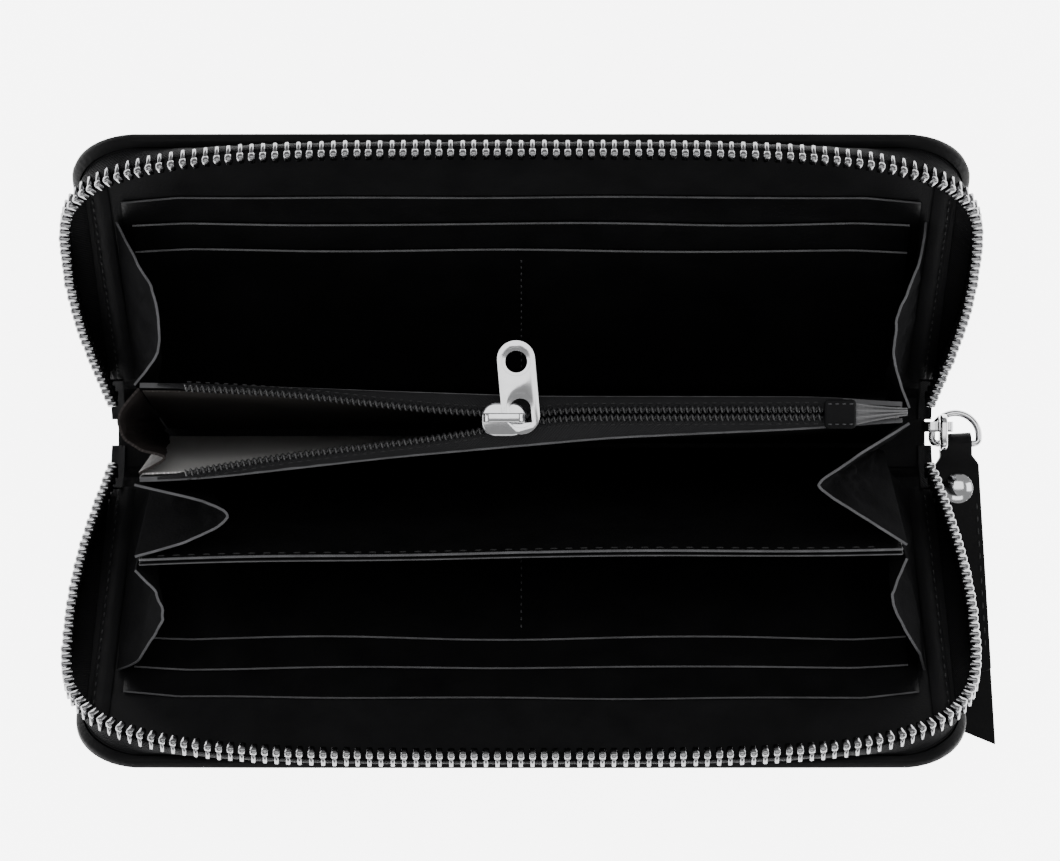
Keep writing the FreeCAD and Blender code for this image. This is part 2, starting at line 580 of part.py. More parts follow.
def make_strap():
    """Wrist strap: folded round the ring's bar, two plies held by a dome rivet."""
    bar_y = RING_Y - RING_BAR_DROP
    inner = RING_WIRE + 0.4
    outer = inner + STRAP_PLY
    low = RING_Z - outer
    lie = low + STRAP_PLY + 0.1
    top_end = -STRAP_UPPER_LENGTH
    at = lambda y, z: Vec(0, y, z - RING_Z)
    half_turn = [Part.Arc(at(0, RING_Z - outer), at(outer, RING_Z), at(0, RING_Z + outer)),
                 Part.LineSegment(at(0, RING_Z + outer), at(-6.5, lie + STRAP_PLY)),
                 Part.LineSegment(at(-6.5, lie + STRAP_PLY), at(top_end, lie + STRAP_PLY)),
                 Part.LineSegment(at(top_end, lie + STRAP_PLY), at(top_end, lie)),
                 Part.LineSegment(at(top_end, lie), at(-6.5, lie)),
                 Part.LineSegment(at(-6.5, lie), at(0, RING_Z + inner)),
                 Part.Arc(at(0, RING_Z + inner), at(inner, RING_Z), at(0, RING_Z - inner)),
                 Part.LineSegment(at(0, RING_Z - inner), at(-STRAP_LOWER_LENGTH, low + STRAP_PLY)),
                 Part.LineSegment(at(-STRAP_LOWER_LENGTH, low + STRAP_PLY), at(-STRAP_LOWER_LENGTH, low)),
                 Part.LineSegment(at(-STRAP_LOWER_LENGTH, low), at(0, low))]
    face = Part.Face(Part.Wire([edge.toShape() for edge in half_turn]))
    strap = face.extrude(Vec(STRAP_WIDTH, 0, 0))
    strap.translate(Vec(-STRAP_WIDTH / 2, 0, 0))
    neck = 3.7
    for low_x, high_x in ((-9, -neck), (neck, 9)):
        strap = strap.cut(box(Vec(low_x, -3.0, -9), Vec(high_x, 9, 9)))
    # The lower ply ends in a slanting cut.
    half = STRAP_WIDTH / 2
    corner = [Vec(-half - 1, -STRAP_LOWER_LENGTH - 1, -9), Vec(half - 1, -STRAP_LOWER_LENGTH - 1, -9),
              Vec(-half - 1, -STRAP_LOWER_LENGTH + 5, -9)]
    strap = strap.cut(Part.Face(Part.makePolygon(corner + [corner[0]])).extrude(Vec(0, 0, 18)))
    hole = Part.makeCylinder(1.5, 20, Vec(0, -RIVET_DISTANCE, -10))
    strap = strap.cut(hole)
    place = FreeCAD.Placement(Vec(RING_X, bar_y, RING_Z), FreeCAD.Rotation(UP, STRAP_YAW))
    top_level = lie + STRAP_PLY - RING_Z
    dome = Part.makeSphere(6.5, Vec(0, -RIVET_DISTANCE, top_level - 5.25))
    dome = dome.common(Part.makeCylinder(RIVET_RADIUS, 4, Vec(0, -RIVET_DISTANCE, top_level + 0.02)))
    post = Part.makeCylinder(1.4, top_level + 0.05 - (low - RING_Z), Vec(0, -RIVET_DISTANCE, low - RING_Z))
    save("strap_leather", [placed(strap, place)])
    save("strap_rivet", [placed(dome.fuse(post).removeSplitter(), place)])


os.makedirs("parts", exist_ok=True)
make_spine()
for cover in ("rear", "front"):
    make_cover(cover)
make_coin_pocket()
make_gussets()
make_divider()
make_coin_slider()
make_main_slider()
make_strap()
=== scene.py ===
import bpy
import bmesh
import json
import math
import random
from mathutils import Matrix, Vector, noise


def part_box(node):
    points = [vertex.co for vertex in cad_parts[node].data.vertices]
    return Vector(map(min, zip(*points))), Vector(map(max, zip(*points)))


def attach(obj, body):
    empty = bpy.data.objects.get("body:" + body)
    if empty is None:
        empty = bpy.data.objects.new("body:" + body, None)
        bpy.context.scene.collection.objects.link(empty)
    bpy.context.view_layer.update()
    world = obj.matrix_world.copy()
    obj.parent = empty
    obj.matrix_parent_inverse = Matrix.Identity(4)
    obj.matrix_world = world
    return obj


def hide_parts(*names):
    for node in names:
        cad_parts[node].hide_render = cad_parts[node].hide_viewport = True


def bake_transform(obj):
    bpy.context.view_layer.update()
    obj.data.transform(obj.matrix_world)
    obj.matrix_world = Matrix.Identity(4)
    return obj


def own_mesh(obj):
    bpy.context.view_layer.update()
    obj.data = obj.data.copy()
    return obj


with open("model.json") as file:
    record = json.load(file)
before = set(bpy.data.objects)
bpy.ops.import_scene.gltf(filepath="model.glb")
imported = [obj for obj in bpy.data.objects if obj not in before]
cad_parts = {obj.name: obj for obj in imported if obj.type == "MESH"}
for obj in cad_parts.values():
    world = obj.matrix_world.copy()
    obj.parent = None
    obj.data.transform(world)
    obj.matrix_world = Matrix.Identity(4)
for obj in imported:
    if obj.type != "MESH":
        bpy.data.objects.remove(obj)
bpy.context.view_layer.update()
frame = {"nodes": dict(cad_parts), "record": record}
bpy.ops.object.select_all(action="DESELECT")

# ---------------------------------------------------------------------------
# Camera, straight above the mouth of the wallet, about 1.1 m over the table,
# with a long lens.
CAMERA_HEIGHT = 1.104
CAMERA_LENS = 160
camera_data = bpy.data.cameras.new("camera")
camera_data.lens = CAMERA_LENS
camera_data.sensor_width = 36
camera_data.clip_end = 10
camera = bpy.data.objects.new("camera", camera_data)
camera.location = (0.00196, 0.00043, CAMERA_HEIGHT)
bpy.context.scene.collection.objects.link(camera)
bpy.context.scene.camera = camera

# ---------------------------------------------------------------------------
# Studio: a white table, one large soft box above, one low light at each side
# that draws the metal and the leather's edges, and an even white surround.
FLOOR_WHITE = 0.9


class Amount:
    """A shader value that works in sums: each operator adds one Math node."""

    def __init__(self, finish, socket):
        self.finish = finish
        self.socket = socket

    def work(self, operation, first, second):
        return self.finish.node("ShaderNodeMath", {"operation": operation}, first, second)

    def __add__(self, other):
        return self.work("ADD", self, other)

    def __mul__(self, other):
        return self.work("MULTIPLY", self, other)

    def __sub__(self, other):
        return self.work("SUBTRACT", self, other)

    def __rsub__(self, other):
        return self.work("SUBTRACT", other, self)

    def above(self, limit):
        return self.work("GREATER_THAN", self, limit)

    def sine(self):
        return self.work("SINE", self, 0)

    __radd__ = __add__
    __rmul__ = __mul__


class Finish:
    """A material on one Principled shader; constants go on its own sockets."""

    def __init__(self, name, colour, roughness, metallic=0.0, **constants):
        self.material = bpy.data.materials.new(name)
        self.material.use_nodes = True
        self.tree = self.material.node_tree
        self.shader = self.tree.nodes["Principled BSDF"]
        self.shader.inputs["Base Color"].default_value = (*colour, 1)
        self.shader.inputs["Roughness"].default_value = roughness
        self.shader.inputs["Metallic"].default_value = metallic
        for socket, value in constants.items():
            self.shader.inputs[socket.replace("_", " ")].default_value = value
        self.material.diffuse_color = (*colour, 1)

    def node(self, kind, settings, *values, output=0, **named):
        made = self.tree.nodes.new(kind)
        for key, value in settings.items():
            if key == "stops":
                made.color_ramp.elements[0].position, made.color_ramp.elements[0].color = value[0]
                made.color_ramp.elements[1].position, made.color_ramp.elements[1].color = value[-1]
                for position, colour in value[1:-1]:
                    made.color_ramp.elements.new(position).color = colour
            else:
                setattr(made, key, value)
        sockets = list(zip(made.inputs, values))
        sockets += [(made.inputs[key.replace("_", " ")], value) for key, value in named.items()]
        for socket, value in sockets:
            if isinstance(value, Amount):
                self.tree.links.new(value.socket, socket)
            elif value is not None:
                socket.default_value = value
        return Amount(self, made.outputs[output])

    def feed(self, socket, value):
        self.tree.links.new(value.socket, self.shader.inputs[socket])

    def place(self, coordinate="Object", scale=(1, 1, 1), turn=0.0):
        source = self.node("ShaderNodeTexCoord", {})
        source.socket = source.socket.node.outputs[coordinate]
        return self.node("ShaderNodeMapping", {}, source, Scale=scale, Rotation=(0, 0, turn))

    def bump(self, height, strength, distance):
        normal = self.node("ShaderNodeBump", {}, Strength=strength, Distance=distance, Height=height)
        self.feed("Normal", normal)

    def mix(self, share, first, second):
        blend = self.tree.nodes.new("ShaderNodeMix")
        blend.data_type = "RGBA"
        for socket, value in ((blend.inputs[0], share), (blend.inputs[6], first), (blend.inputs[7], second)):
            if isinstance(value, Amount):
                self.tree.links.new(value.socket, socket)
            else:
                socket.default_value = value if isinstance(value, float) else (*value, 1)
        return Amount(self, blend.outputs[2])


bpy.ops.mesh.primitive_plane_add(size=6, location=(0, 0, 0))
floor = bpy.context.object
floor.name = "table_top"
floor_finish = Finish("white_table", (FLOOR_WHITE,) * 3, 0.7, Emission_Color=(1, 1, 1, 1), Emission_Strength=6)
floor.data.materials.append(floor_finish.material)
bpy.ops.object.select_all(action="DESELECT")


def soft_light(name, place, target, size, power):
    data = bpy.data.lights.new(name, "AREA")
    data.shape = "RECTANGLE"
    data.size, data.size_y = size
    data.energy = power
    light = bpy.data.objects.new(name, data)
    light.location = place
    light.rotation_euler = (Vector(target) - Vector(place)).to_track_quat("-Z", "Y").to_euler()
    bpy.context.scene.collection.objects.link(light)


soft_light("top_box", (0.0, 0.35, 1.5), (0, 0, 0.05), (1.6, 0.9), 13)
soft_light("left_box", (-1.2, -0.2, 0.6), (0, 0, 0.05), (0.8, 0.8), 7)
soft_light("right_box", (1.2, 0.1, 0.6), (0, 0, 0.05), (0.8, 0.8), 7)
soft_light("near_box", (0.1, -1.1, 0.9), (0, 0, 0.05), (1.2, 0.6), 7)

world = bpy.context.scene.world or bpy.data.worlds.new("studio")
bpy.context.scene.world = world
world.use_nodes = True
world.node_tree.nodes["Background"].inputs[0].default_value = (1, 1, 1, 1)
world.node_tree.nodes["Background"].inputs[1].default_value = 0.5

# ---------------------------------------------------------------------------
# Cover leather: one hide over both covers and the spine, black calf with a fine
# pebbled grain, its edges turned in and stitched. Here it is two halves that
# meet under the middle of the spine.
MM = 0.001
joints = {joint["name"]: joint for joint in frame["record"]["behaviour"]["joints"]}
HINGE_Y = joints["rear_cover_hinge"]["pos_m"][1]
HINGE_Z = joints["rear_cover_hinge"]["pos_m"][2]
TILT = {"rear": math.radians(joints["rear_cover_hinge"]["range_deg"][1]),
        "front": math.radians(joints["front_cover_hinge"]["range_deg"][1])}
FACING = {"rear": 1, "front": -1}
COVER_HALF = (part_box("rear_cover_leather")[1][0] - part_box("rear_cover_leather")[0][0]) / 2
COVER_LENGTH = 98 * MM
CORNER = 15 * MM
FOOT_TAPER = 2.4 * MM
FOOT_LENGTH = 22 * MM
HIDE = 1.1 * MM
SHELL = 2.5 * MM
BLACK = (0.0032, 0.0032, 0.0034)


def on_cover(side, x, along, inward):
    """A point from its place across the cover, along it from the hinge, and in from its lining."""
    sine, cosine = math.sin(TILT[side]), math.cos(TILT[side])
    y = FACING[side] * (HINGE_Y + along * sine - inward * cosine)
    return Vector((x, y, HINGE_Z + along * cosine + inward * sine))


def cover_half_width(along, inset=0.0):
    """Half the cover's width at a distance from the hinge: tapered foot, round mouth corners."""
    half = COVER_HALF - inset
    top = COVER_LENGTH - inset
    if along < FOOT_LENGTH:
        return half - FOOT_TAPER * (1 - along / FOOT_LENGTH)
    over = along - (top - CORNER)
    if over > 0:
        return half - CORNER + math.sqrt(max(CORNER ** 2 - over ** 2, 0))
    return half


def shaped_grid(name, columns, rows, place, size):
    """A grid primitive whose points go where place(u, v) says; its UVs are in metres."""
    bpy.ops.mesh.primitive_grid_add(x_subdivisions=columns, y_subdivisions=rows, size=2)
    piece = bpy.context.object
    piece.name = name
    for vertex in piece.data.vertices:
        vertex.co = place((vertex.co.x + 1) / 2, (vertex.co.y + 1) / 2)
    for loop in piece.data.uv_layers.active.data:
        loop.uv = (loop.uv[0] * size[0], loop.uv[1] * size[1])
    return piece


def shape(piece, kind, **settings):
    """Adds one modifier and applies it."""
    bpy.context.view_layer.objects.active = piece
    modifier = piece.modifiers.new(kind, kind)
    for key, value in settings.items():
        setattr(modifier, key, value)
    bpy.ops.object.modifier_apply(modifier=modifier.name)


def smooth(piece, angle=40):
    bpy.ops.object.select_all(action="DESELECT")
    piece.select_set(True)
    bpy.context.view_layer.objects.active = piece
    bpy.ops.object.shade_smooth_by_angle(angle=math.radians(angle))
    piece.select_set(False)


def thicken(piece, thickness, offset=0.0, edge=0.0):
    """Gives a sheet its thickness, and rounds its rim when edge is set."""
    shape(piece, "SOLIDIFY", thickness=thickness, offset=offset, use_even_offset=True)
    if edge:
        shape(piece, "BEVEL", width=edge, segments=2, limit_method="ANGLE", angle_limit=math.radians(60))
    smooth(piece)


def dress(piece, finish, slot, *nodes):
    """Gives a piece its material, and hides the CAD nodes it stands for; slot is not used."""
    piece.data.materials.clear()
    piece.data.materials.append(finish.material)
    if nodes:
        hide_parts(*nodes)
    return piece


def leather_finish(name, colour, roughness, grain, depth, edge=None, gloss=0.1):
    """Pebbled leather: cells of grain, soft creases, and a painted highlight that lightens the colour where the creases
    rise.
    """
    made = Finish(name, colour, roughness, Specular_IOR_Level=gloss)
    place = made.place()
    cells = made.node("ShaderNodeTexVoronoi", {"feature": "SMOOTH_F1"}, Vector=place, Scale=1 / grain)
    creases = made.node("ShaderNodeTexNoise", {}, Vector=place, Scale=90.0, Detail=6.0, Roughness=0.6)
    pores = made.node("ShaderNodeTexNoise", {}, Vector=place, Scale=3.1 / grain, Detail=2.0)
    made.bump(cells * 0.8 + creases * 0.9 + pores * 0.25, 0.55, depth)
    made.feed("Roughness", creases * 0.22 + cells * 0.12 + (roughness - 0.16))
    # Painted highlight: the colour goes lighter where the crease noise, which also raises the bump, is high.
    lighter = tuple(part * 1.8 + 0.001 for part in colour)
    shade = made.mix((creases - 0.5) * 1.2 + 0.25, colour, lighter)
    # Painted highlight: the edge colour is laid along the marked cut edge.
    if edge:
        shade = made.mix(edge_highlight_mask(made), shade, edge)
    made.feed("Base Color", shade)
    return made


def edge_highlight_mask(made):
    """Painted highlight along the piece's cut edge, which is marked by its own attribute, broken up by noise."""
    mark = made.node("ShaderNodeAttribute", {"attribute_name": "rim"}, output=2)
    highlight_breakup = made.node("ShaderNodeTexNoise", {}, Vector=made.place(), Scale=220.0, Detail=3.0)
    return mark * (highlight_breakup * 0.9 + 0.35)


cover_leather = leather_finish("black_calf", BLACK, 0.5, 0.9 * MM, 0.16 * MM, None, 0.05)


def hide_outline(side, u, v):
    """The hide from the middle of the spine, round the fold and up to the mouth edge."""
    spine_run, fold_run = 0.06, 0.08
    sign = FACING[side]
    bend = TILT[side]
    if v < spine_run:
        share = v / spine_run
        half = SPINE_HALF + 0.4 * MM
        return Vector(((2 * u - 1) * half, sign * (HINGE_Y - 1.2 * MM) * share, 0.55 * MM))
    if v < spine_run + fold_run:
        share = (v - spine_run) / fold_run
        turn = math.pi / 2 + bend
        angle = share * (math.pi - turn)
        start = Vector((0, HINGE_Y - 1.2 * MM, 0.55 * MM))
        end = on_cover("rear" if side == "rear" else side, 0, 4 * MM, -(SHELL - HIDE / 2))
        end.y = abs(end.y)
        control = Vector((0, HINGE_Y + 1.9 * MM, 0.5 * MM))
        point = start * (1 - share) ** 2 + control * 2 * share * (1 - share) + end * share ** 2
        half = SPINE_HALF + (cover_half_width(4 * MM) - SPINE_HALF) * share
        return Vector(((2 * u - 1) * half, sign * point.y, point.z))
    share = (v - spine_run - fold_run) / (1 - spine_run - fold_run)
    along = 4 * MM + (COVER_LENGTH - 4 * MM) * (1 - (1 - share) ** 1.6)
    half = cover_half_width(min(along, COVER_LENGTH - 0.05 * MM))
    sag = 0.5 * MM * math.sin(math.pi * share) * (1 - (2 * u - 1) ** 2)
    return on_cover(side, (2 * u - 1) * half, along, -(SHELL - HIDE / 2) - sag)


SPINE_HALF = (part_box("spine_leather")[1][0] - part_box("spine_leather")[0][0]) / 2
for side in ("rear", "front"):
    hide = shaped_grid("hide_" + side, 90, 96, lambda u, v: hide_outline(side, u, v), (0.2, 0.11))
    thicken(hide, HIDE, edge=0.35 * MM)
    dress(hide, cover_leather, "leather", side + "_cover_leather", "spine_leather")
    sign = FACING[side]
    sign * (HINGE_Y - 1.5 * MM)
    sign * (HINGE_Y + 3.2 * MM)
    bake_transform(hide)

# ---------------------------------------------------------------------------
# Turned edge: the hide is folded in over the board round each cover, which
# leaves a rounded lip about 1.5 mm high between the zip tape and the outside.
LIP = 1.3 * MM


def border_point(side, turn, inset, inward):
    """A point round the cover's edge from its left foot to its right foot."""
    half = COVER_HALF - inset
    top = COVER_LENGTH - inset
    straight = top - CORNER - 5 * MM
    arc = CORNER * math.pi / 2
    across = 2 * (half - CORNER)
    total = 2 * straight + 2 * arc + across
    run = turn * total
    if run > total / 2:
        mirrored = border_point(side, 1 - turn, inset, inward)
        return Vector((-mirrored.x, mirrored.y, mirrored.z))
    if run < straight:
        along = 5 * MM + run
        x = cover_half_width(along, inset)
    elif run < straight + arc:
        angle = (run - straight) / CORNER
        along = top - CORNER + CORNER * math.sin(angle)
        x = half - CORNER + CORNER * math.cos(angle)
    else:
        along = top
        x = half - CORNER - (run - straight - arc)
    return on_cover(side, -x, along, inward)


def lip_ring(side, u, v):
    angle = math.pi * v
    inset = LIP * 0.5 * (1 - math.cos(angle)) - 0.05 * MM
    return border_point(side, u, inset, -SHELL + HIDE + (SHELL - HIDE - 0.1 * MM) * math.sin(angle * 0.5) ** 0.8)


for side in ("rear", "front"):
    lip = shaped_grid("turned_edge_" + side, 180, 8, lambda u, v: lip_ring(side, u, v), (0.37, 0.004))
    thicken(lip, 0.3 * MM, offset=-1)
    dress(lip, cover_leather, "leather")
    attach(lip, side + "_cover")

# ---------------------------------------------------------------------------
# Lining of each cover: thin matt goat leather with a fine grain that runs
# across, glued over the board. The board shows nowhere.
lining_leather = leather_finish("lining_goat", (0.006, 0.006, 0.0063), 0.6, 0.55 * MM, 0.12 * MM, None, 0.02)
for side in ("rear", "front"):
    def lining_place(u, v, side=side):
        along = 3 * MM + (COVER_LENGTH - 5 * MM) * (1 - (1 - v) ** 1.5)
        half = cover_half_width(along, 1.6 * MM)
        return on_cover(side, (2 * u - 1) * half, along, -0.25 * MM)

    lining = shaped_grid("lining_" + side, 60, 60, lining_place, (0.19, 0.095))
    thicken(lining, 0.5 * MM, edge=0.12 * MM)
    dress(lining, lining_leather, "lining_leather", side + "_cover_lining", side + "_cover_board")
    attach(lining, side + "_cover")
for node in ("spine_lining", "spine_board"):
    frame["nodes"][node].data.materials.clear()
    frame["nodes"][node].data.materials.append(lining_leather.material)

# ---------------------------------------------------------------------------
# Pockets on each cover: a full-width slip pocket, then two rows of card slots.
# Each is one ply of lining leather with its top edge turned and burnished,
# which rides up and down a little; a painted highlight marks that edge as a thin grey line.
# Grey of the painted highlight laid along cut edges.
EDGE_HIGHLIGHT_GREY = (0.075, 0.075, 0.078)
pocket_leather = leather_finish("pocket_goat", (0.0022, 0.0022, 0.0024), 0.52, 0.55 * MM, 0.1 * MM, EDGE_HIGHLIGHT_GREY)
POCKETS = (("slip_pocket", 88 * MM, 79 * MM, 0.4 * MM),
           ("card_row_upper", 86 * MM, 70 * MM, 1.1 * MM),
           ("card_row_lower", 86 * MM, 61 * MM, 1.8 * MM))
POCKET_FOOT = 5 * MM
for side in ("rear", "front"):
    for number, (pocket, half, top, level) in enumerate(POCKETS):
        def ply_place(u, v, side=side, number=number, half=half, top=top, level=level):
            x = (2 * u - 1) * half
            wave = noise.noise(Vector((x * 22, number * 7.3, FACING[side] * 3))) * 0.9 * MM
            droop = -2.0 * MM * max(0, abs(2 * u - 1) - 0.86) / 0.14 * (1 if number == 0 else 0.5)
            dip = 0.35 * MM * math.cos(2 * math.pi * (2 * u - 1)) * (number > 0)
            along = POCKET_FOOT + (top + wave + droop + dip - POCKET_FOOT) * (1 - (1 - v) ** 2)
            lift = 0.25 * MM * max(0, v - 0.7) / 0.3
            return on_cover(side, x, along, level + lift)

        ply = shaped_grid("_".join((side, pocket, "ply")), 120, 40, ply_place, (2 * half, top))
        # The top row is marked for the painted highlight along the edge.
        rim = ply.data.attributes.new("rim", "FLOAT", "POINT")
        columns = 121
        for index, item in enumerate(rim.data):
            item.value = 1.0 if index // columns >= 40 else 0.0
        thicken(ply, 0.4 * MM, edge=0.1 * MM)
        dress(ply, pocket_leather, "lining_leather", side + "_" + pocket)
        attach(ply, side + "_cover")

# ---------------------------------------------------------------------------
# Main zip tape: a woven polyester tape sewn in between hide and lining. It
# stands up from the cover's edge and bows outwards where the chain pulls it.
CHAIN_HALF = 100.6 * MM
CHAIN_TOP = 103.8 * MM
CHAIN_WAIST = 60 * MM
CHAIN_SQUARENESS = 3.9
CHAIN_FOOT = 8 * MM
CHAIN_FOOT_HALF = 94.6 * MM
TAPE_HEIGHT = 5.0 * MM
SEAM_INSET = 2.0 * MM


def chain_line(turn):
    """The chain's line on a flat cover, from its left foot (0) to its right foot (1)."""
    foot_share = 0.18
    if min(turn, 1 - turn) < foot_share:
        share = min(turn, 1 - turn) / foot_share
        across = CHAIN_FOOT_HALF + (CHAIN_HALF - CHAIN_FOOT_HALF) * math.sin(share * math.pi / 2)
        return Vector((math.copysign(across, turn - 0.5), CHAIN_FOOT + (CHAIN_WAIST - CHAIN_FOOT) * share, 0))
    angle = math.pi * (1 - (turn - foot_share) / (1 - 2 * foot_share))
    power = 2 / CHAIN_SQUARENESS
    across = CHAIN_HALF * math.copysign(abs(math.cos(angle)) ** power, math.cos(angle))
    return Vector((across, CHAIN_WAIST + (CHAIN_TOP - CHAIN_WAIST) * math.sin(angle) ** power, 0))


CHAIN_FINE = [chain_line(step / 4000) for step in range(4001)]
CHAIN_RUN = [0.0]
for first, second in zip(CHAIN_FINE, CHAIN_FINE[1:]):
    CHAIN_RUN.append(CHAIN_RUN[-1] + (second - first).length)


def chain_at(share):
    """Point and direction at an even share of the chain's length."""
    target = min(max(share, 0), 1) * CHAIN_RUN[-1]
    low, high = 0, len(CHAIN_RUN) - 2
    while low < high:
        middle = (low + high + 1) // 2
        low, high = (middle, high) if CHAIN_RUN[middle] <= target else (low, middle - 1)
    first, second = CHAIN_FINE[low], CHAIN_FINE[low + 1]
    part = (target - CHAIN_RUN[low]) / (second - first).length
    return first.lerp(second, part), (second - first).normalized()


def seam_near(point):
    """Where the tape is sewn, beside a point of the chain."""
    half = COVER_HALF - SEAM_INSET
    top = COVER_LENGTH - SEAM_INSET
    beyond = Vector((abs(point.x) - (half - CORNER), point.y - (top - CORNER), 0))
    sign = math.copysign(1, point.x)
    if beyond.x > 0 and beyond.y > 0:
        beyond = beyond.normalized() * CORNER
        return Vector((sign * (half - CORNER + beyond.x), top - CORNER + beyond.y, 0))
    if beyond.x > 0:
        return Vector((sign * half, point.y, 0))
    return Vector((point.x, top, 0))


def tape_place(side, u, v):
    point, _ = chain_at(u)
    seam = seam_near(point)
    flat = seam.lerp(point, math.sin(v * math.pi / 2))
    ripple = 0.12 * MM * math.sin(u * 260) * math.sin(v * math.pi)
    return on_cover(side, flat.x, flat.y + ripple, 0.05 * MM + (TAPE_HEIGHT + 0.3 * MM) * v)


def woven_finish(name, colour, roughness, pitch, turn, depth):
    """Twill: slanting ribs crossed by yarns, from the piece's own UVs in metres."""
    made = Finish(name, colour, roughness, Specular_IOR_Level=0.08)
    place = made.place("UV", (1, 1, 1), turn)
    ribs = made.node("ShaderNodeTexWave", {"wave_type": "BANDS", "wave_profile": "SIN"}, Vector=place,
                     Scale=0.314 / pitch, Distortion=0.6, Detail=1.0, output=1)
    cross = made.node("ShaderNodeTexWave", {"wave_type": "BANDS", "bands_direction": "Y"}, Vector=place,
                      Scale=0.314 / pitch * 1.7, Distortion=0.5, output=1)
    fuzz = made.node("ShaderNodeTexNoise", {}, Vector=made.place(), Scale=900.0, Detail=4.0)
    made.bump(ribs * 0.9 + cross * 0.5 + fuzz * 0.3, 0.7, depth)
    lighter = tuple(part * 2.6 + 0.002 for part in colour)
    made.feed("Base Color", made.mix(ribs * cross * 0.8 + fuzz * 0.15, colour, lighter))
    made.feed("Roughness", fuzz * 0.2 + (roughness - 0.1))
    return made


tape_finish = woven_finish("zip_tape_twill", (0.003, 0.003, 0.0033), 0.75, 0.55 * MM, 0.6, 0.15 * MM)
CHAIN_LENGTH = CHAIN_RUN[-1]
for side in ("rear", "front"):
    tape = shaped_grid("tape_" + side, 260, 8, lambda u, v: tape_place(side, u, v), (CHAIN_LENGTH, TAPE_HEIGHT * 1.4))
    thicken(tape, 0.55 * MM, edge=0.1 * MM)
    dress(tape, tape_finish, "zip_tape", side + "_zip_tape")
    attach(tape, side + "_cover")

# ---------------------------------------------------------------------------
# Zip teeth: number 5 metal teeth, bright nickel. Each is a slim pair of legs
# clamped over the tape's edge and a rounder head with a dimple on each face.
TOOTH_PITCH = 2.5 * MM
TOOTH_DEEP = 2.6 * MM


def metal_finish(name, colour, roughness, wear):
    """Plated metal with fine random scratches and slightly dull patches."""
    made = Finish(name, colour, roughness, 1.0)
    place = made.place()
    patches = made.node("ShaderNodeTexNoise", {}, Vector=place, Scale=260.0, Detail=5.0)
    hairs = made.node("ShaderNodeTexNoise", {}, Vector=made.place("Object", (1, 14, 1), 0.5), Scale=700.0, Detail=2.0)
    made.feed("Roughness", patches * wear + hairs * (wear * 0.6) + (roughness - wear * 0.6))
    darker = tuple(part * 0.72 for part in colour)
    made.feed("Base Color", made.mix((patches - 0.45) * 1.1, colour, darker))
    made.bump(hairs * 0.5 + patches * 0.5, 0.12, 0.02 * MM)
    return made


teeth_metal = metal_finish("tooth_nickel", (0.2, 0.2, 0.205), 0.16, 0.14)
bpy.ops.mesh.primitive_cube_add(size=1, location=(0, 0, TAPE_HEIGHT + 0.75 * MM))
leg = bpy.context.object
leg.scale = (TOOTH_DEEP * 0.92, 0.85 * MM, 2.9 * MM)
bpy.ops.object.transform_apply(location=True, rotation=False, scale=True)
bpy.ops.mesh.primitive_cube_add(size=1, location=(0, 0, TAPE_HEIGHT + 2.35 * MM))
head = bpy.context.object
head.scale = (TOOTH_DEEP, 1.62 * MM, 1.6 * MM)
bpy.ops.object.transform_apply(location=True, rotation=False, scale=True)
bpy.ops.object.mode_set(mode="EDIT")
shell = bmesh.from_edit_mesh(head.data)
for face in shell.faces:
    face.select = abs(face.normal.x) > 0.9
bmesh.update_edit_mesh(head.data)
bpy.ops.mesh.inset(thickness=0.42 * MM, depth=-0.3 * MM, use_individual=True)
bpy.ops.object.mode_set(mode="OBJECT")
shape(head, "BEVEL", width=0.5 * MM, segments=2, limit_method="ANGLE", angle_limit=math.radians(50))
shape(leg, "BEVEL", width=0.18 * MM, segments=1, limit_method="ANGLE")
bpy.ops.object.select_all(action="DESELECT")
head.select_set(True)
leg.select_set(True)
bpy.context.view_layer.objects.active = head
bpy.ops.object.join()
tooth = head
tooth_mesh = tooth.data


def cover_matrix(side):
    """From across, along, inward on a flat cover to the wallet's frame."""
    origin = on_cover(side, 0, 0, 0)
    along = on_cover(side, 0, 1, 0) - origin
    inward = on_cover(side, 0, 0, 1) - origin
    matrix = Matrix.Identity(4)
    for row in range(3):
        matrix[row][0], matrix[row][1] = (1, 0, 0)[row], along[row]
        matrix[row][2], matrix[row][3] = inward[row], origin[row]
    return matrix


def gather(name, mesh, places):
    """One piece out of a copy of a mesh at each place."""
    merged = bmesh.new()
    for place in places:
        copy = mesh.copy()
        copy.transform(place)
        if place.to_3x3().determinant() < 0:
            copy.flip_normals()
        merged.from_mesh(copy)
        bpy.data.meshes.remove(copy)
    data = bpy.data.meshes.new(name)
    merged.to_mesh(data)
    merged.free()
    piece = bpy.data.objects.new(name, data)
    bpy.context.scene.collection.objects.link(piece)
    return piece


random.seed(5)
for side in ("rear", "front"):
    count = int(CHAIN_LENGTH / TOOTH_PITCH)
    places = []
    for number in range(count + 1):
        point, direction = chain_at(number / count)
        turn = Matrix.Rotation(math.atan2(direction.y, direction.x) - math.pi / 2, 4, "Z")
        tip = Matrix.Rotation(random.gauss(0, 0.008), 4, "X") @ Matrix.Rotation(random.gauss(0, 0.008), 4, "Y")
        places.append(cover_matrix(side) @ Matrix.Translation(point) @ turn @ tip)
    teeth = gather("teeth_" + side, tooth_mesh, places)
    smooth(teeth, 50)
    dress(teeth, teeth_metal, "zip_metal", side + "_zip_teeth")
    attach(teeth, side + "_cover")
bpy.data.objects.remove(tooth)

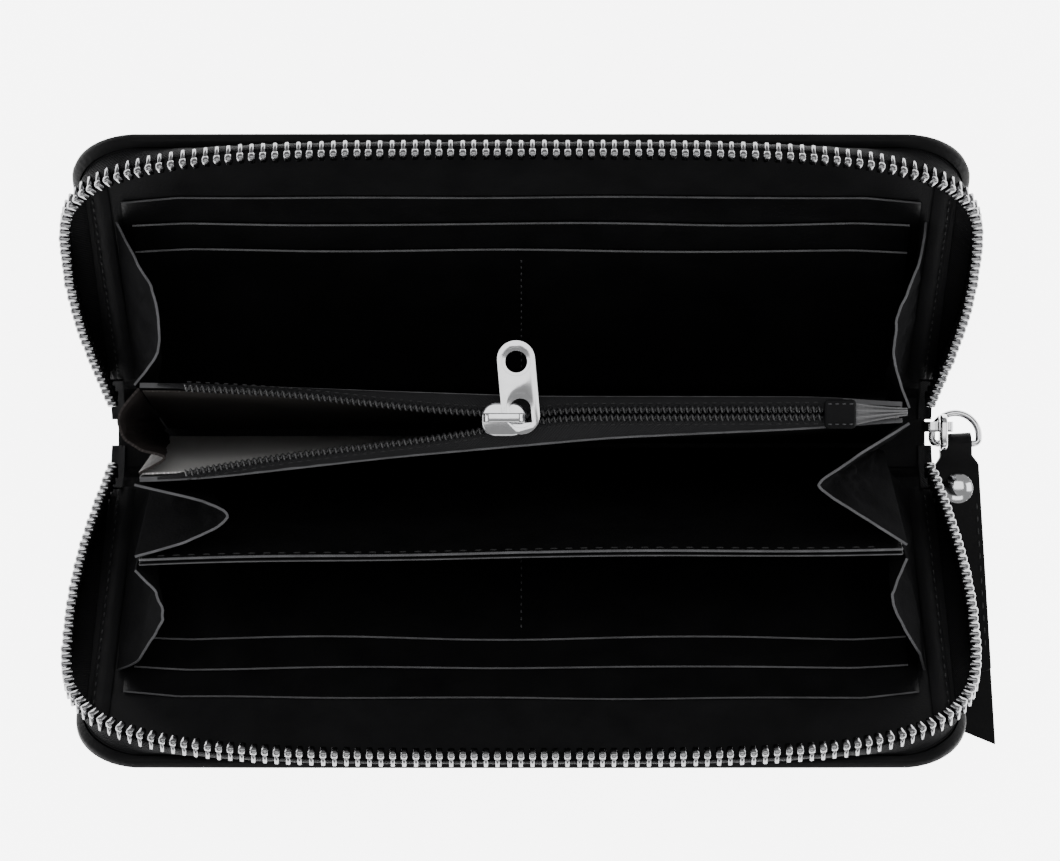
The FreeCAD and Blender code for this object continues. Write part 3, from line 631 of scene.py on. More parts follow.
# ---------------------------------------------------------------------------
# Welts: strips of lining leather stitched down each side of a cover, over the
# raw edge of the gusset, beside the zip.
for side in ("rear", "front"):
    for sign in (-1, 1):
        def welt_place(u, v, side=side, sign=sign):
            x = sign * (90.8 + 4.2 * u) * MM
            crown = 0.7 * MM * math.sin(math.pi * u) + 0.1 * MM * math.sin(v * 60 + u * 3)
            return on_cover(side, x - sign * 1.2 * MM * (1 - v), (8 + 78 * v) * MM, 0.35 * MM + crown)

        name = "right" if sign > 0 else "left"
        welt = shaped_grid("welt_{}_{}".format(side, name), 8, 60, welt_place, (0.004, 0.08))
        thicken(welt, 0.5 * MM, edge=0.12 * MM)
        dress(welt, lining_leather, "lining_leather", side + "_welt_" + name)
        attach(welt, side + "_cover")

# ---------------------------------------------------------------------------
# Stitching: waxed thread in saddle stitches, each a short fat capsule that
# dips into the leather at both ends. The same stitch serves every seam.
thread = Finish("waxed_thread", (0.012, 0.012, 0.0125), 0.55, Specular_IOR_Level=0.2)
ply_twist = thread.node("ShaderNodeTexWave", {"bands_direction": "DIAGONAL"}, Vector=thread.place(), Scale=1300.0)
thread.bump(ply_twist, 0.5, 0.05 * MM)
pale_thread = Finish("worn_thread", (0.04, 0.04, 0.042), 0.5, Specular_IOR_Level=0.2)
pale_twist = pale_thread.node("ShaderNodeTexWave", {"bands_direction": "DIAGONAL"}, Vector=pale_thread.place(), Scale=1300.0)
pale_thread.bump(pale_twist, 0.5, 0.05 * MM)
bpy.ops.mesh.primitive_uv_sphere_add(segments=8, ring_count=6, radius=1)
stitch = bpy.context.object
for vertex in stitch.data.vertices:
    vertex.co.x *= 1.0 - 0.25 * vertex.co.x ** 2
stitch_mesh = stitch.data.copy()
bpy.data.objects.remove(stitch)


def seam(name, line, pitch, length, fat, finish, body, *nodes):
    """Stitches at an even pitch along line(distance), which gives point, direction and outward."""
    places = []
    for point, direction, outward in line(pitch):
        side_way = outward.cross(direction).normalized()
        turn = Matrix((direction, side_way, outward)).transposed().to_4x4()
        size = Matrix.Diagonal((length / 2, fat / 2, fat / 2, 1))
        places.append(Matrix.Translation(point) @ turn @ size)
    piece = gather(name, stitch_mesh, places)
    smooth(piece, 60)
    dress(piece, finish, "thread", *nodes)
    if body:
        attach(piece, body)
    return piece


def straight_seam(start, end, outward):
    def line(pitch):
        run = end - start
        count = int(run.length / pitch)
        for number in range(count + 1):
            yield start + run * (number / count), run.normalized(), outward.normalized()
    return line


for side in ("rear", "front"):
    outward = on_cover(side, 0, 0, 1) - on_cover(side, 0, 0, 0)
    start = on_cover(side, 0, 8 * MM, 2.1 * MM)
    end = on_cover(side, 0, 57 * MM, 2.1 * MM)
    seam("centre_seam_" + side, straight_seam(start, end, outward), 2.4 * MM, 1.3 * MM, 0.34 * MM, pale_thread,
         side + "_cover", side + "_centre_stitching")
    for sign in (-1, 1):
        start = on_cover(side, sign * 93.4 * MM, 12 * MM, 1.35 * MM)
        end = on_cover(side, sign * 94.2 * MM, 84 * MM, 1.35 * MM)
        name = "right" if sign > 0 else "left"
        seam("welt_seam_{}_{}".format(side, name), straight_seam(start, end, outward), 2.8 * MM, 1.9 * MM, 0.35 * MM,
             thread, side + "_cover")


def outer_seam(side):
    def line(pitch):
        count = int(0.36 / pitch)
        for number in range(count):
            here = border_point(side, number / count, 3.0 * MM, -SHELL - 0.02 * MM)
            there = border_point(side, (number + 0.5) / count, 3.0 * MM, -SHELL - 0.02 * MM)
            yield here, (there - here).normalized(), on_cover(side, 0, 0, -1) - on_cover(side, 0, 0, 0)
    return line


for side in ("rear", "front"):
    seam("outer_seam_" + side, outer_seam(side), 2.9 * MM, 2.0 * MM, 0.4 * MM, thread, side + "_cover")

# ---------------------------------------------------------------------------
# Coin pocket: two walls of lining leather on boards, standing on the spine.
# The front wall leans away at the left, so that the pocket gapes there.
COIN_TOP = 78.5 * MM
COIN_FOOT = 2.6 * MM
SPINE_TOP = 2.5 * MM
EDGES = {"rear": ((-82.3, 10.9), (-70.0, 10.7), (-26.2, 9.0), (3.9, 8.0), (65.6, 7.9), (83.0, 6.7)),
         "front": ((-82.3, -10.9), (-68.0, -10.2), (-26.2, -5.5), (19.7, -1.4), (62.6, 0.6), (83.0, 2.2))}


def along_line(line, x):
    """The y of a row of (x, y) places given in millimetres, eased between them."""
    x = x / MM
    if x <= line[0][0]:
        return line[0][1] * MM
    for (x0, y0), (x1, y1) in zip(line, line[1:]):
        if x <= x1:
            return (y0 + (y1 - y0) * (x - x0) / (x1 - x0)) * MM
    return line[-1][1] * MM


def eased(line, x, reach=6 * MM):
    return sum(along_line(line, x + reach * step / 3) for step in range(-3, 4)) / 7


def fold_flat(piece):
    """Attaches a soft piece on the spine to the core body, on a mesh of its own."""
    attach(piece, "core")
    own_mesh(piece)


def wall_y(side, x, z):
    foot = FACING[side] * COIN_FOOT
    return foot + (eased(EDGES[side], x) - foot) * (z - SPINE_TOP) / (COIN_TOP - SPINE_TOP)


def mark_top(piece, columns, rows, share=1.0):
    """Marks the points of a grid's last row as its edge, for a material to find and paint a highlight on."""
    rim = piece.data.attributes.new("rim", "FLOAT", "POINT")
    for index, item in enumerate(rim.data):
        item.value = share if index // (columns + 1) >= rows else 0.0


# The grey edge colour is a painted highlight along the walls' top edges.
wall_leather = leather_finish("wall_goat", (0.003, 0.003, 0.0032), 0.5, 0.55 * MM, 0.14 * MM, EDGE_HIGHLIGHT_GREY)
for side in ("rear", "front"):
    inward = -FACING[side]

    def wall_place(u, v, side=side, inward=inward):
        x = (-83 + 166 * u) * MM
        z = SPINE_TOP + (COIN_TOP - SPINE_TOP) * (1 - (1 - v) ** 2)
        swell = noise.noise(Vector((x * 18, z * 22, 4 + inward))) * 0.7 * MM * math.sin(math.pi * v)
        z += noise.noise(Vector((x * 30, 2.2, inward))) * 0.35 * MM * v
        return Vector((x, wall_y(side, x, z) + inward * 0.6 * MM + swell, z))

    def lining_wall(u, v, side=side, inward=inward):
        x = (-82.5 + 165 * u) * MM
        z = SPINE_TOP + 1 * MM + (COIN_TOP - SPINE_TOP - 2.6 * MM) * v
        crease = noise.noise(Vector((x * 40, z * 25, 8 + inward))) * 0.5 * MM * math.sin(math.pi * v)
        return Vector((x, wall_y(side, x, z) + inward * (1.65 * MM + abs(crease)), z))

    wall = shaped_grid("coin_wall_" + side, 110, 30, wall_place, (0.166, 0.078))
    mark_top(wall, 110, 30)
    thicken(wall, 1.1 * MM, offset=0, edge=0.22 * MM)
    dress(wall, wall_leather, "lining_leather", "coin_" + side + "_wall")
    fold_flat(wall)

    # The front lining is a grey twill whose colour is raised further as painted light, to make up for the shade it lies
    # in; the rear lining stays dark.
    inner_cloth = woven_finish("coin_twill_" + side, {"rear": (0.02, 0.018, 0.017), "front": (0.30, 0.295, 0.29)}[side],
                               0.7, 0.9 * MM, 0.7, 0.12 * MM)
    cloth = shaped_grid("coin_lining_" + side, 90, 24, lining_wall, (0.165, 0.076))
    thicken(cloth, 0.35 * MM, offset=0)
    dress(cloth, inner_cloth, "twill_lining", "coin_" + side + "_lining")
    fold_flat(cloth)

# ---------------------------------------------------------------------------
# Coin zip: a number 3 nylon coil on woven tape. Each coil is one filament
# wound along the tape's edge, sewn down by a row of lock stitches.
ZIP_HEIGHT = 81.0 * MM
CHAIN_MIDDLE = ((-10, 2.8), (0, 2.8), (10, 4.0), (65.5, 4.2))
OPEN_COIL = {"rear": ((-73, 9.7), (0, 3.8)), "front": ((-73, -8.8), (0, 1.8))}
COIL_HALF_WIDTH = 0.95 * MM
COIL_HALF_HEIGHT = 0.8 * MM
COIL_PITCH = 1.25 * MM
COIL_WIRE = 0.27 * MM
COIL_LEFT, COIL_RIGHT = -73 * MM, 65.5 * MM


def coil_y(side, x):
    closed = eased(CHAIN_MIDDLE, x, 4 * MM) + FACING[side] * (COIL_HALF_WIDTH - 0.1 * MM)
    if x >= 0:
        return closed
    share = min(1, -x / (6 * MM))
    opened = along_line(OPEN_COIL[side], x) + 0.35 * MM * math.sin(x * 90)
    return closed * (1 - share) + opened * share


filament = Finish("coil_nylon", (0.014, 0.014, 0.015), 0.3, Specular_IOR_Level=0.6)
filament_mottle = filament.node("ShaderNodeTexNoise", {}, Vector=filament.place(), Scale=800.0, Detail=2.0)
filament.feed("Roughness", filament_mottle * 0.3 + 0.2)
coin_tape = woven_finish("coin_tape_twill", (0.008, 0.008, 0.0085), 0.65, 0.6 * MM, 0.5, 0.1 * MM)


def sweep(name, path, radius, ring, closed=False):
    """A round tube along a row of points."""
    mesh = bmesh.new()
    rings = []
    last = len(path) - 1
    for index, centre in enumerate(path):
        after = path[(index + 1) % len(path)] if closed else path[min(index + 1, last)]
        before = path[index - 1] if closed or index else path[0]
        ahead = after - before
        first = ahead.cross(Vector((0, 0.01, 1)) if closed else Vector((1, 0.001, 0))).normalized()
        second = ahead.cross(first).normalized()
        turns = [2 * math.pi * k / ring for k in range(ring)]
        rings.append([mesh.verts.new(centre + (first * math.cos(t) + second * math.sin(t)) * radius) for t in turns])
    pairs = list(zip(rings, rings[1:] + (rings[:1] if closed else [])))
    for before, after in pairs:
        for k in range(ring):
            mesh.faces.new((before[k], before[(k + 1) % ring], after[(k + 1) % ring], after[k]))
    if not closed:
        mesh.faces.new(rings[0][::-1])
        mesh.faces.new(rings[-1])
    bmesh.ops.recalc_face_normals(mesh, faces=mesh.faces)
    data = bpy.data.meshes.new(name)
    mesh.to_mesh(data)
    mesh.free()
    piece = bpy.data.objects.new(name, data)
    bpy.context.scene.collection.objects.link(piece)
    smooth(piece, 75)
    return piece


def coil_path(side):
    """A flattened helix along one side of the zip."""
    steps, radius = 12, COIL_WIRE
    path = []
    for step in range(int((COIL_RIGHT - COIL_LEFT) / COIL_PITCH * steps) + 1):
        angle = 2 * math.pi * step / steps
        x = COIL_LEFT + COIL_PITCH * step / steps
        reach_y = (COIL_HALF_WIDTH - radius) * math.copysign(abs(math.cos(angle)) ** 0.7, math.cos(angle))
        reach_z = (COIL_HALF_HEIGHT - radius) * math.sin(angle)
        path.append(Vector((x, coil_y(side, x) + reach_y, ZIP_HEIGHT + reach_z)))
    return path


def coil_seam(side, offset):
    def line(pitch):
        count = int((COIL_RIGHT - COIL_LEFT) / pitch)
        for number in range(count):
            x = COIL_LEFT + (number + 0.5) * pitch
            step = coil_y(side, x + 0.5 * MM) - coil_y(side, x - 0.5 * MM)
            rise = 0.75 * MM if abs(offset) < 1 * MM else 0.1 * MM
            yield (Vector((x, coil_y(side, x) + offset, ZIP_HEIGHT + rise)),
                   Vector((1 * MM, step, 0)).normalized(), Vector((0, 0, 1)))
    return line


for side in ("rear", "front"):
    outward = FACING[side]
    coil = sweep("coin_coil_" + side, coil_path(side), COIL_WIRE, 5)
    dress(coil, filament, "nylon_coil", "coin_" + side + "_coil")
    fold_flat(coil)

    def coin_tape_place(u, v, side=side, outward=outward):
        x = (-79 + 149 * u) * MM
        held = max(x, COIL_LEFT)
        low_y = eased(EDGES[side], x) - outward * 0.5 * MM
        high_y = coil_y(side, min(held, COIL_RIGHT)) - outward * 0.3 * MM
        if x < COIL_LEFT:
            high_y += (low_y - high_y) * (COIL_LEFT - x) / (6 * MM) * 0.9
        belly = 0.5 * MM * math.sin(math.pi * v) + 0.08 * MM * math.sin(x * 900)
        z = COIN_TOP + 0.1 * MM + (ZIP_HEIGHT - 0.85 * MM - COIN_TOP) * v ** 0.8
        return Vector((x, low_y + (high_y - low_y) * v + outward * belly * 0.3, z + belly * 0.4))

    tape = shaped_grid("coin_tape_" + side, 130, 8, coin_tape_place, (0.149, 0.008))
    thicken(tape, 0.4 * MM, offset=-1)
    dress(tape, coin_tape, "zip_tape", "coin_" + side + "_zip_tape")
    fold_flat(tape)
    for number, offset in enumerate((0.0, outward * 1.45 * MM)):
        row = seam("coil_seam_{}_{}".format(side, number), coil_seam(side, offset), COIL_PITCH * (1 + number * 0.6),
                   COIL_PITCH * 0.72 * (1 + number * 0.6), 0.3 * MM, thread, None)
        fold_flat(row)

# ---------------------------------------------------------------------------
# Closed end of the coin zip: a tab of leather folded round the tape and box
# stitched, then the tape's own end, pinched into pleats and tacked down.
TAB_MIDDLE = Vector((69.3, 4.0, 0)) * MM


bpy.ops.mesh.primitive_cube_add(size=1, location=(TAB_MIDDLE.x, TAB_MIDDLE.y, ZIP_HEIGHT))
tab = bpy.context.object
tab.name = "coin_end_tab"
tab.scale = (6.8 * MM, 6.4 * MM, 3.1 * MM)
bpy.ops.object.transform_apply(location=True, rotation=False, scale=True)
shape(tab, "BEVEL", width=0.9 * MM, segments=3)
bpy.ops.object.mode_set(mode="EDIT")
bpy.ops.mesh.select_all(action="SELECT")
bpy.ops.mesh.subdivide(number_cuts=5)
bpy.ops.object.mode_set(mode="OBJECT")
for vertex in tab.data.vertices:
    local = (vertex.co - Vector((TAB_MIDDLE.x, TAB_MIDDLE.y, ZIP_HEIGHT))) / MM
    pinch = 0.16 * math.cos(local.x * 1.9) * math.cos(local.y * 2.0)
    vertex.co.z += math.copysign(pinch, local.z) * MM
smooth(tab, 60)
dress(tab, lining_leather, "leather", "coin_zip_end_tab")
fold_flat(tab)


def box_seam(pitch):
    """A small rectangle of stitches on the tab."""
    spots = [(-2.3 + 4.6 * k / 3, y) for k in range(4) for y in (-2.2, 2.2)]
    for x, y in spots:
        yield (Vector((TAB_MIDDLE.x + x * MM, TAB_MIDDLE.y + y * MM, ZIP_HEIGHT + 1.66 * MM)),
               Vector((1, 0, 0)), Vector((0, 0, 1)))


tab_seam = seam("coin_tab_seam", box_seam, 1, 1.15 * MM, 0.32 * MM, pale_thread, None)
fold_flat(tab_seam)


def gathered_place(u, v):
    """Pleats that start as wide as the tape and run together at the tack."""
    x = (72.6 + 11.4 * u) * MM
    half = (1.7 * (1 - u) ** 1.3 + 0.7) * MM
    across = (2 * v - 1) * half
    middle = (4.0 + 0.5 * u) * MM
    pleat = 0.55 * MM * math.cos(v * 6 * math.pi) * (0.4 + 0.6 * u)
    return Vector((x, middle + across, ZIP_HEIGHT - 0.5 * MM - 0.8 * MM * u + pleat))


pleats = shaped_grid("coin_gathered_end", 16, 40, gathered_place, (0.012, 0.008))
thicken(pleats, 0.35 * MM, offset=0)
pleat_cloth = woven_finish("pleat_twill", (0.09, 0.09, 0.092), 0.42, 0.5 * MM, 1.57, 0.1 * MM)
dress(pleats, pleat_cloth, "zip_tape", "coin_zip_gathered_end")
fold_flat(pleats)

# ---------------------------------------------------------------------------
# Gussets: folded fans of thin leather that join the covers, the divider and
# the coin pocket at each end. Their free edges are turned and carry a painted highlight.
# The grey edge colour is a painted highlight along the free edges.
gusset_leather = leather_finish("gusset_goat", (0.004, 0.004, 0.0042), 0.6, 0.6 * MM, 0.3 * MM, (0.1, 0.1, 0.105), 0.0)


def through(points, share):
    """A smooth line through the fold points of a gusset's free edge."""
    run = share * (len(points) - 1)
    index = min(int(run), len(points) - 2)
    t = run - index
    p1, p2 = points[index], points[index + 1]
    p0 = points[max(index - 1, 0)]
    p3 = points[min(index + 2, len(points) - 1)]
    curve = (p1 * 2 + (p2 - p0) * t + (p0 * 2 - p1 * 5 + p2 * 4 - p3) * t * t
             + (p1 * 3 - p0 - p2 * 3 + p3) * t ** 3) * 0.5
    return curve.lerp(p1.lerp(p2, t), 0.35)


def fan(name, top, foot_start, foot_end, finish, slot, node, seed):
    """One gusset, from its free edge and the two ends of its foot, all in millimetres."""
    top = [Vector(point) * MM for point in top]
    foot_start, foot_end = Vector(foot_start) * MM, Vector(foot_end) * MM
    columns, rows = 48, 44

    def place(u, v):
        edge = through(top, u)
        straight = top[0].lerp(top[-1], u)
        foot = foot_start.lerp(foot_end, u)
        foot.x += (edge.x - straight.x) * 0.12
        v = 1 - (1 - v) ** 1.7
        point = foot.lerp(edge, v)
        spread = math.sin(math.pi * u) * math.sin(math.pi * min(v * 0.9, 1))
        crumple = noise.noise(Vector((u * 7 + seed, v * 5, 0.3))) * 1.7 + noise.noise(Vector((u * 17, v * 13, seed))) * 0.8
        ridge = abs(noise.noise(Vector((u * 5 - v * 6, v * 3, seed + 2)))) * -1.6
        point.x += (crumple + ridge) * MM * spread
        point.z += noise.noise(Vector((u * 6, seed, 1))) * 0.5 * MM * v
        return point

    piece = shaped_grid(name, columns, rows, place, (0.03, 0.08))
    mark_top(piece, columns, rows)
    thicken(piece, 0.55 * MM, offset=0, edge=0.15 * MM)
    dress(piece, finish, slot, node)
    fold_flat(piece)


def cover_spot(side, x, along, inward):
    return on_cover(side, x * MM, along * MM, inward * MM) / MM


DIVIDER_DROP = {-1: 1.8, 1: -0.8}
for sign, name in ((-1, "left"), (1, "right")):
    left = sign < 0
    rear_knot = (-84.2, 10.3, 78) if left else (84.6, 5.3, 78)
    front_knot = (-84.2, -11.4, 78) if left else (84.6, 2.0, 78)
    divider_y = -4.2 - 22.5 - DIVIDER_DROP[sign]
    divider_foot = (sign * 84.2, -5.8, 8)
    folds = {"rear": ((-84.0, 37.0, 70), (-79.4, 28.0, 75), (-79.2, 17.5, 77)) if left else
             ((87.5, 37.0, 70), (82.3, 25.0, 75), (81.5, 15.0, 77)),
             "front": ((-79.6, -35.0, 76), (-78.4, -41.0, 74), (-84.0, -50.0, 66)) if left else
             ((82.0, -33.0, 76), (81.6, -38.0, 74), (87.5, -48.0, 66)),
             "middle": ((-69.4, -15.0, 77.5), (-63.4, -18.5, 77.5), (-71.9, -23.5, 77.5)) if left else
             ((74.5, -4.5, 77.5), (65.2, -11.5, 77.5), (74.0, -18.0, 77.5))}
    fan("gusset_fan_rear_" + name, (cover_spot("rear", sign * 89.6, 70, 0.6), *folds["rear"], rear_knot),
        cover_spot("rear", sign * 89.6, 9, 0.6), (sign * 84.5, 3.4, 6), gusset_leather, "lining_leather",
        "gusset_rear_" + name, 3 + sign)
    fan("gusset_fan_front_" + name,
        ((sign * 84.2, divider_y - 1.6, 76.5), *folds["front"], cover_spot("front", sign * 89.6, 70, 0.6)),
        (sign * 84.2, -7.0, 8), cover_spot("front", sign * 89.6, 9, 0.6), gusset_leather, "lining_leather",
        "gusset_front_" + name, 9 + sign)
    fan("gusset_fan_middle_" + name, (front_knot, *folds["middle"], (sign * 84.2, divider_y + 1.4, 76.5)),
        (sign * 84.5, -2.9, 6), (sign * 84.2, -4.6, 8), gusset_leather, "lining_leather",
        "gusset_middle_" + name, 15 + sign)
gape = ((-83.2, 9.6, 78), (-87.5, 4.1, 78), (-86.5, -0.9, 78), (-82.9, -3.7, 78), (-77.4, -5.6, 78), (-83.2, -9.0, 78))
gape_cloth = woven_finish("gusset_twill", (0.012, 0.010, 0.0095), 0.65, 0.8 * MM, 0.7, 0.12 * MM)
fan("coin_fan_left", gape, (-83.2, 1.0, 4), (-83.2, -1.0, 4), gape_cloth, "twill_lining",
    "coin_gusset_left", 21)

# ---------------------------------------------------------------------------
# Divider: two plies of lining leather glued back to back, with a row of
# stitches below the top. The plies part a little there and show two edges, each with a painted highlight.
DIVIDER_Y = joints["divider_hinge"]["pos_m"][1]
DIVIDER_TILT = math.radians(joints["divider_hinge"]["range_deg"][1])
DIVIDER_HALF = 83.3 * MM


def on_divider(x, along, rearward):
    bow = -DIVIDER_DROP[-1 if x < 0 else 1] * MM * abs(x / DIVIDER_HALF) ** 1.4 * along / (77 * MM)
    bow += 0.25 * MM * math.sin(x * 70) * along / (77 * MM)
    y = DIVIDER_Y - along * math.sin(DIVIDER_TILT) + rearward * math.cos(DIVIDER_TILT) + bow
    return Vector((x, y, HINGE_Z + along * math.cos(DIVIDER_TILT) + rearward * math.sin(DIVIDER_TILT)))


# The grey edge colour is a painted highlight along the plies' top edges.
divider_leather = leather_finish("divider_goat", (0.003, 0.003, 0.0032), 0.5, 0.55 * MM, 0.14 * MM, (0.12, 0.12, 0.125))
for face, facing in (("rear", 1), ("front", -1)):
    def ply_spot(u, v, facing=facing):
        x = (2 * u - 1) * DIVIDER_HALF
        top = 77 * MM + noise.noise(Vector((x * 25, facing, 5))) * 0.3 * MM
        part = 0.3 * MM * max(0, v - 0.93) / 0.07
        return on_divider(x, 0.4 * MM + (top - 0.4 * MM) * (1 - (1 - v) ** 2), facing * (0.36 * MM + part))

    ply = shaped_grid("divider_sheet_" + face, 110, 30, ply_spot, (0.166, 0.077))
    mark_top(ply, 110, 30)
    thicken(ply, 0.6 * MM, offset=0, edge=0.16 * MM)
    dress(ply, divider_leather, "lining_leather", "divider_{}_ply".format(face))
    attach(ply, "divider")


def divider_seam(pitch):
    count = int(2 * (DIVIDER_HALF - 3 * MM) / pitch)
    outward = on_divider(0, 0, 1 * MM) - on_divider(0, 0, 0)
    for number in range(count):
        x = -DIVIDER_HALF + 3 * MM + (number + 0.5) * pitch
        here, there = on_divider(x, 75.2 * MM, 0.72 * MM), on_divider(x + 1 * MM, 75.2 * MM, 0.72 * MM)
        yield here, (there - here).normalized(), outward.normalized()


seam("divider_thread", divider_seam, 3.3 * MM, 2.2 * MM, 0.42 * MM, thread, "divider", "divider_stitching")

# ---------------------------------------------------------------------------
# Zip tape tails: past the last tooth each tape runs on down to the end of the
# spine, where it is tucked in.
TAIL_INNER, TAIL_OUTER = 92.5 * MM, 95.9 * MM
for side in ("rear", "front"):
    for sign, name in ((-1, "left"), (1, "right")):
        def tail_place(u, v, side=side, sign=sign):
            x = sign * (TAIL_INNER + (TAIL_OUTER - TAIL_INNER) * u)
            low = Vector((x, FACING[side] * 3.1 * MM, (3.0 - 2.0 * min(1, u * 2)) * MM))
            high = on_cover(side, x, 9 * MM, 1.6 * MM)
            middle = Vector((x, FACING[side] * 8.0 * MM, 3.4 * MM))
            return low * (1 - v) ** 2 + middle * 2 * v * (1 - v) + high * v * v

        tail = shaped_grid("tape_tail_{}_{}".format(side, name), 8, 24, tail_place, (0.0034, 0.016))
        thicken(tail, 0.5 * MM, offset=0, edge=0.1 * MM)
        dress(tail, tape_finish, "zip_tape")
        facing = FACING[side]
        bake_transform(tail)

# ---------------------------------------------------------------------------
# Coin zip slider: die-cast body of two plates on a post, nickel plated, with
# an arched bail on top. Its edges are softened by the tumbling before plating.
nickel = metal_finish("bright_nickel", (0.5, 0.5, 0.51), 0.1, 0.12)
SLIDER = Vector((-3.7, 2.8, 0)) * MM


def rounded_block(name, centre, size, corner, edge):
    """A block with round upright corners and softened edges."""
    bpy.ops.mesh.primitive_cube_add(size=1, location=centre)
    piece = bpy.context.object
    piece.name = name
    piece.scale = size
    bpy.ops.object.transform_apply(location=True, rotation=False, scale=True)
    if corner:
        bpy.ops.object.mode_set(mode="EDIT")
        bpy.ops.mesh.select_mode(type="EDGE")
        block = bmesh.from_edit_mesh(piece.data)
        for part in block.edges:
            part.select = abs(part.verts[0].co.z - part.verts[1].co.z) > size[2] / 2
        bmesh.update_edit_mesh(piece.data)
        bpy.ops.mesh.bevel(offset=corner, segments=10, affect="EDGES")
        bpy.ops.object.mode_set(mode="OBJECT")
    if edge:
        shape(piece, "BEVEL", width=edge, segments=3, limit_method="ANGLE", angle_limit=math.radians(40))
    return piece


def carve(piece, *cutters):
    """Takes other pieces out of a piece, and throws them away."""
    for cutter in cutters:
        shape(piece, "BOOLEAN", operation="DIFFERENCE", object=cutter, solver="EXACT")
        bpy.data.objects.remove(cutter)


def unite(piece, *others):
    for other in others:
        shape(piece, "BOOLEAN", operation="UNION", object=other, solver="EXACT")
        bpy.data.objects.remove(other)


upper = rounded_block("coin_slider_shell", SLIDER + Vector((0, 0, 82.6 * MM)), (9.5 * MM, 7.1 * MM, 1.0 * MM), 2.9 * MM, 0.35 * MM)
lower = rounded_block("lower", SLIDER + Vector((0, 0, 79.4 * MM)), (9.5 * MM, 5.7 * MM, 1.0 * MM), 2.2 * MM, 0.35 * MM)
post = rounded_block("post", SLIDER + Vector((-4.3 * MM, 0, 81 * MM)), (0.9 * MM, 0.5 * MM, 3.2 * MM), 0, 0)
unite(upper, lower, post)
for vertex in upper.data.vertices:
    if vertex.co.z > 82.9 * MM:
        away = (vertex.co - SLIDER).to_2d().length / (4.8 * MM)
        vertex.co.z -= 0.35 * MM * min(1, away) ** 2
smooth(upper, 35)
dress(upper, nickel, "nickel", "coin_slider_body")
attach(upper, "coin_slider")

BAIL_CENTRE = SLIDER + Vector((0, 0.4 * MM, 84.75 * MM))
bail = rounded_block("coin_bail", BAIL_CENTRE, (2.0 * MM, 3.3 * MM, 8.9 * MM), 0, 0)
for vertex in bail.data.vertices:
    local = vertex.co - BAIL_CENTRE
    vertex.co = BAIL_CENTRE + Vector((local.z, local.x, local.y))
bpy.ops.object.mode_set(mode="EDIT")
bpy.ops.mesh.select_mode(type="EDGE")
block = bmesh.from_edit_mesh(bail.data)
for part in block.edges:
    ends = [vertex.co for vertex in part.verts]
    part.select = min(end.z for end in ends) > BAIL_CENTRE.z and abs(ends[0].y - ends[1].y) > 1 * MM
bmesh.update_edit_mesh(bail.data)
bpy.ops.mesh.bevel(offset=1.6 * MM, segments=8, affect="EDGES")
bpy.ops.object.mode_set(mode="OBJECT")
carve(bail, rounded_block("gap", BAIL_CENTRE - Vector((0, 0, 1.0 * MM)), (6.9 * MM, 6 * MM, 3.3 * MM), 0, 0))
shape(bail, "BEVEL", width=0.28 * MM, segments=3, limit_method="ANGLE", angle_limit=math.radians(40))
smooth(bail, 35)
dress(bail, nickel, "nickel", "coin_slider_bail")
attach(bail, "coin_slider")

# ---------------------------------------------------------------------------
# Coin zip pull: a flat die-cast tab with round ends. It has a round hole with
# a raised rim at the free end, and an arched opening that hangs on the bail.
pull = rounded_block("coin_pull", (0, 10.2 * MM, 0.65 * MM), (8.2 * MM, 20.4 * MM, 1.3 * MM), 4.05 * MM, 0)
bpy.ops.mesh.primitive_cylinder_add(vertices=48, radius=2.4 * MM, depth=6 * MM, location=(0, 15.8 * MM, 0.65 * MM))
hole = bpy.context.object
bpy.ops.mesh.primitive_cylinder_add(vertices=48, radius=2.3 * MM, depth=6 * MM, location=(0, 5.5 * MM, 0.65 * MM))
arch = bpy.context.object
slot = rounded_block("slot", (0, 3.95 * MM, 0.65 * MM), (4.6 * MM, 3.1 * MM, 6 * MM), 0, 0)
carve(pull, hole, arch, slot)
bpy.ops.mesh.primitive_cylinder_add(vertices=48, radius=3.1 * MM, depth=1 * MM, location=(0, 15.8 * MM, 1.55 * MM))
dish = bpy.context.object
carve(pull, dish, rounded_block("step", (0, 5.2 * MM, 1.55 * MM), (6.0 * MM, 7.6 * MM, 1 * MM), 2.95 * MM, 0))
shape(pull, "BEVEL", width=0.2 * MM, segments=3, limit_method="ANGLE", angle_limit=math.radians(40))
PULL_PLACE = Matrix.Translation(Vector((0.35, -0.4, 83.5)) * MM) @ Matrix.Rotation(math.radians(5), 4, "Z")
pull.data.transform(PULL_PLACE)
smooth(pull, 35)
dress(pull, nickel, "nickel", "coin_pull_tab")
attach(pull, "coin_pull")

# ---------------------------------------------------------------------------
# Main zip slider, seen from above at the foot of the right-hand side: a cast
# body whose bail hooks round the ring.
MAIN_SLIDER = Vector((98.0, 0, 8.6)) * MM
main_body = rounded_block("main_slider_shell", (0, 0, 0), (7.6 * MM, 8.4 * MM, 1.6 * MM), 2.6 * MM, 0.4 * MM)
crown = rounded_block("crown", (0.6 * MM, 0, 0.8 * MM), (4.2 * MM, 2.6 * MM, 0.9 * MM), 1.0 * MM, 0.3 * MM)
unite(main_body, crown)
for vertex in main_body.data.vertices:
    vertex.co = MAIN_SLIDER + Vector((min(vertex.co.z, 0.8 * MM), vertex.co.y, -vertex.co.x))
smooth(main_body, 35)
dress(main_body, nickel, "nickel", "main_slider_body")
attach(main_body, "main_slider")

HOOK = [Vector((x, 0, z)) * MM for x, z in ((98.9, 10.1), (99.8, 9.9), (99.95, 5.6), (99.9, 1.1), (97.3, 0.75),
                                             (94.8, 1.1), (94.65, 4.2), (95.0, 5.9), (97.2, 5.95))]


def hook_place(u, v):
    point = through(HOOK, v)
    return Vector((point.x, (0.1 + 2.4 * u) * MM, point.z))


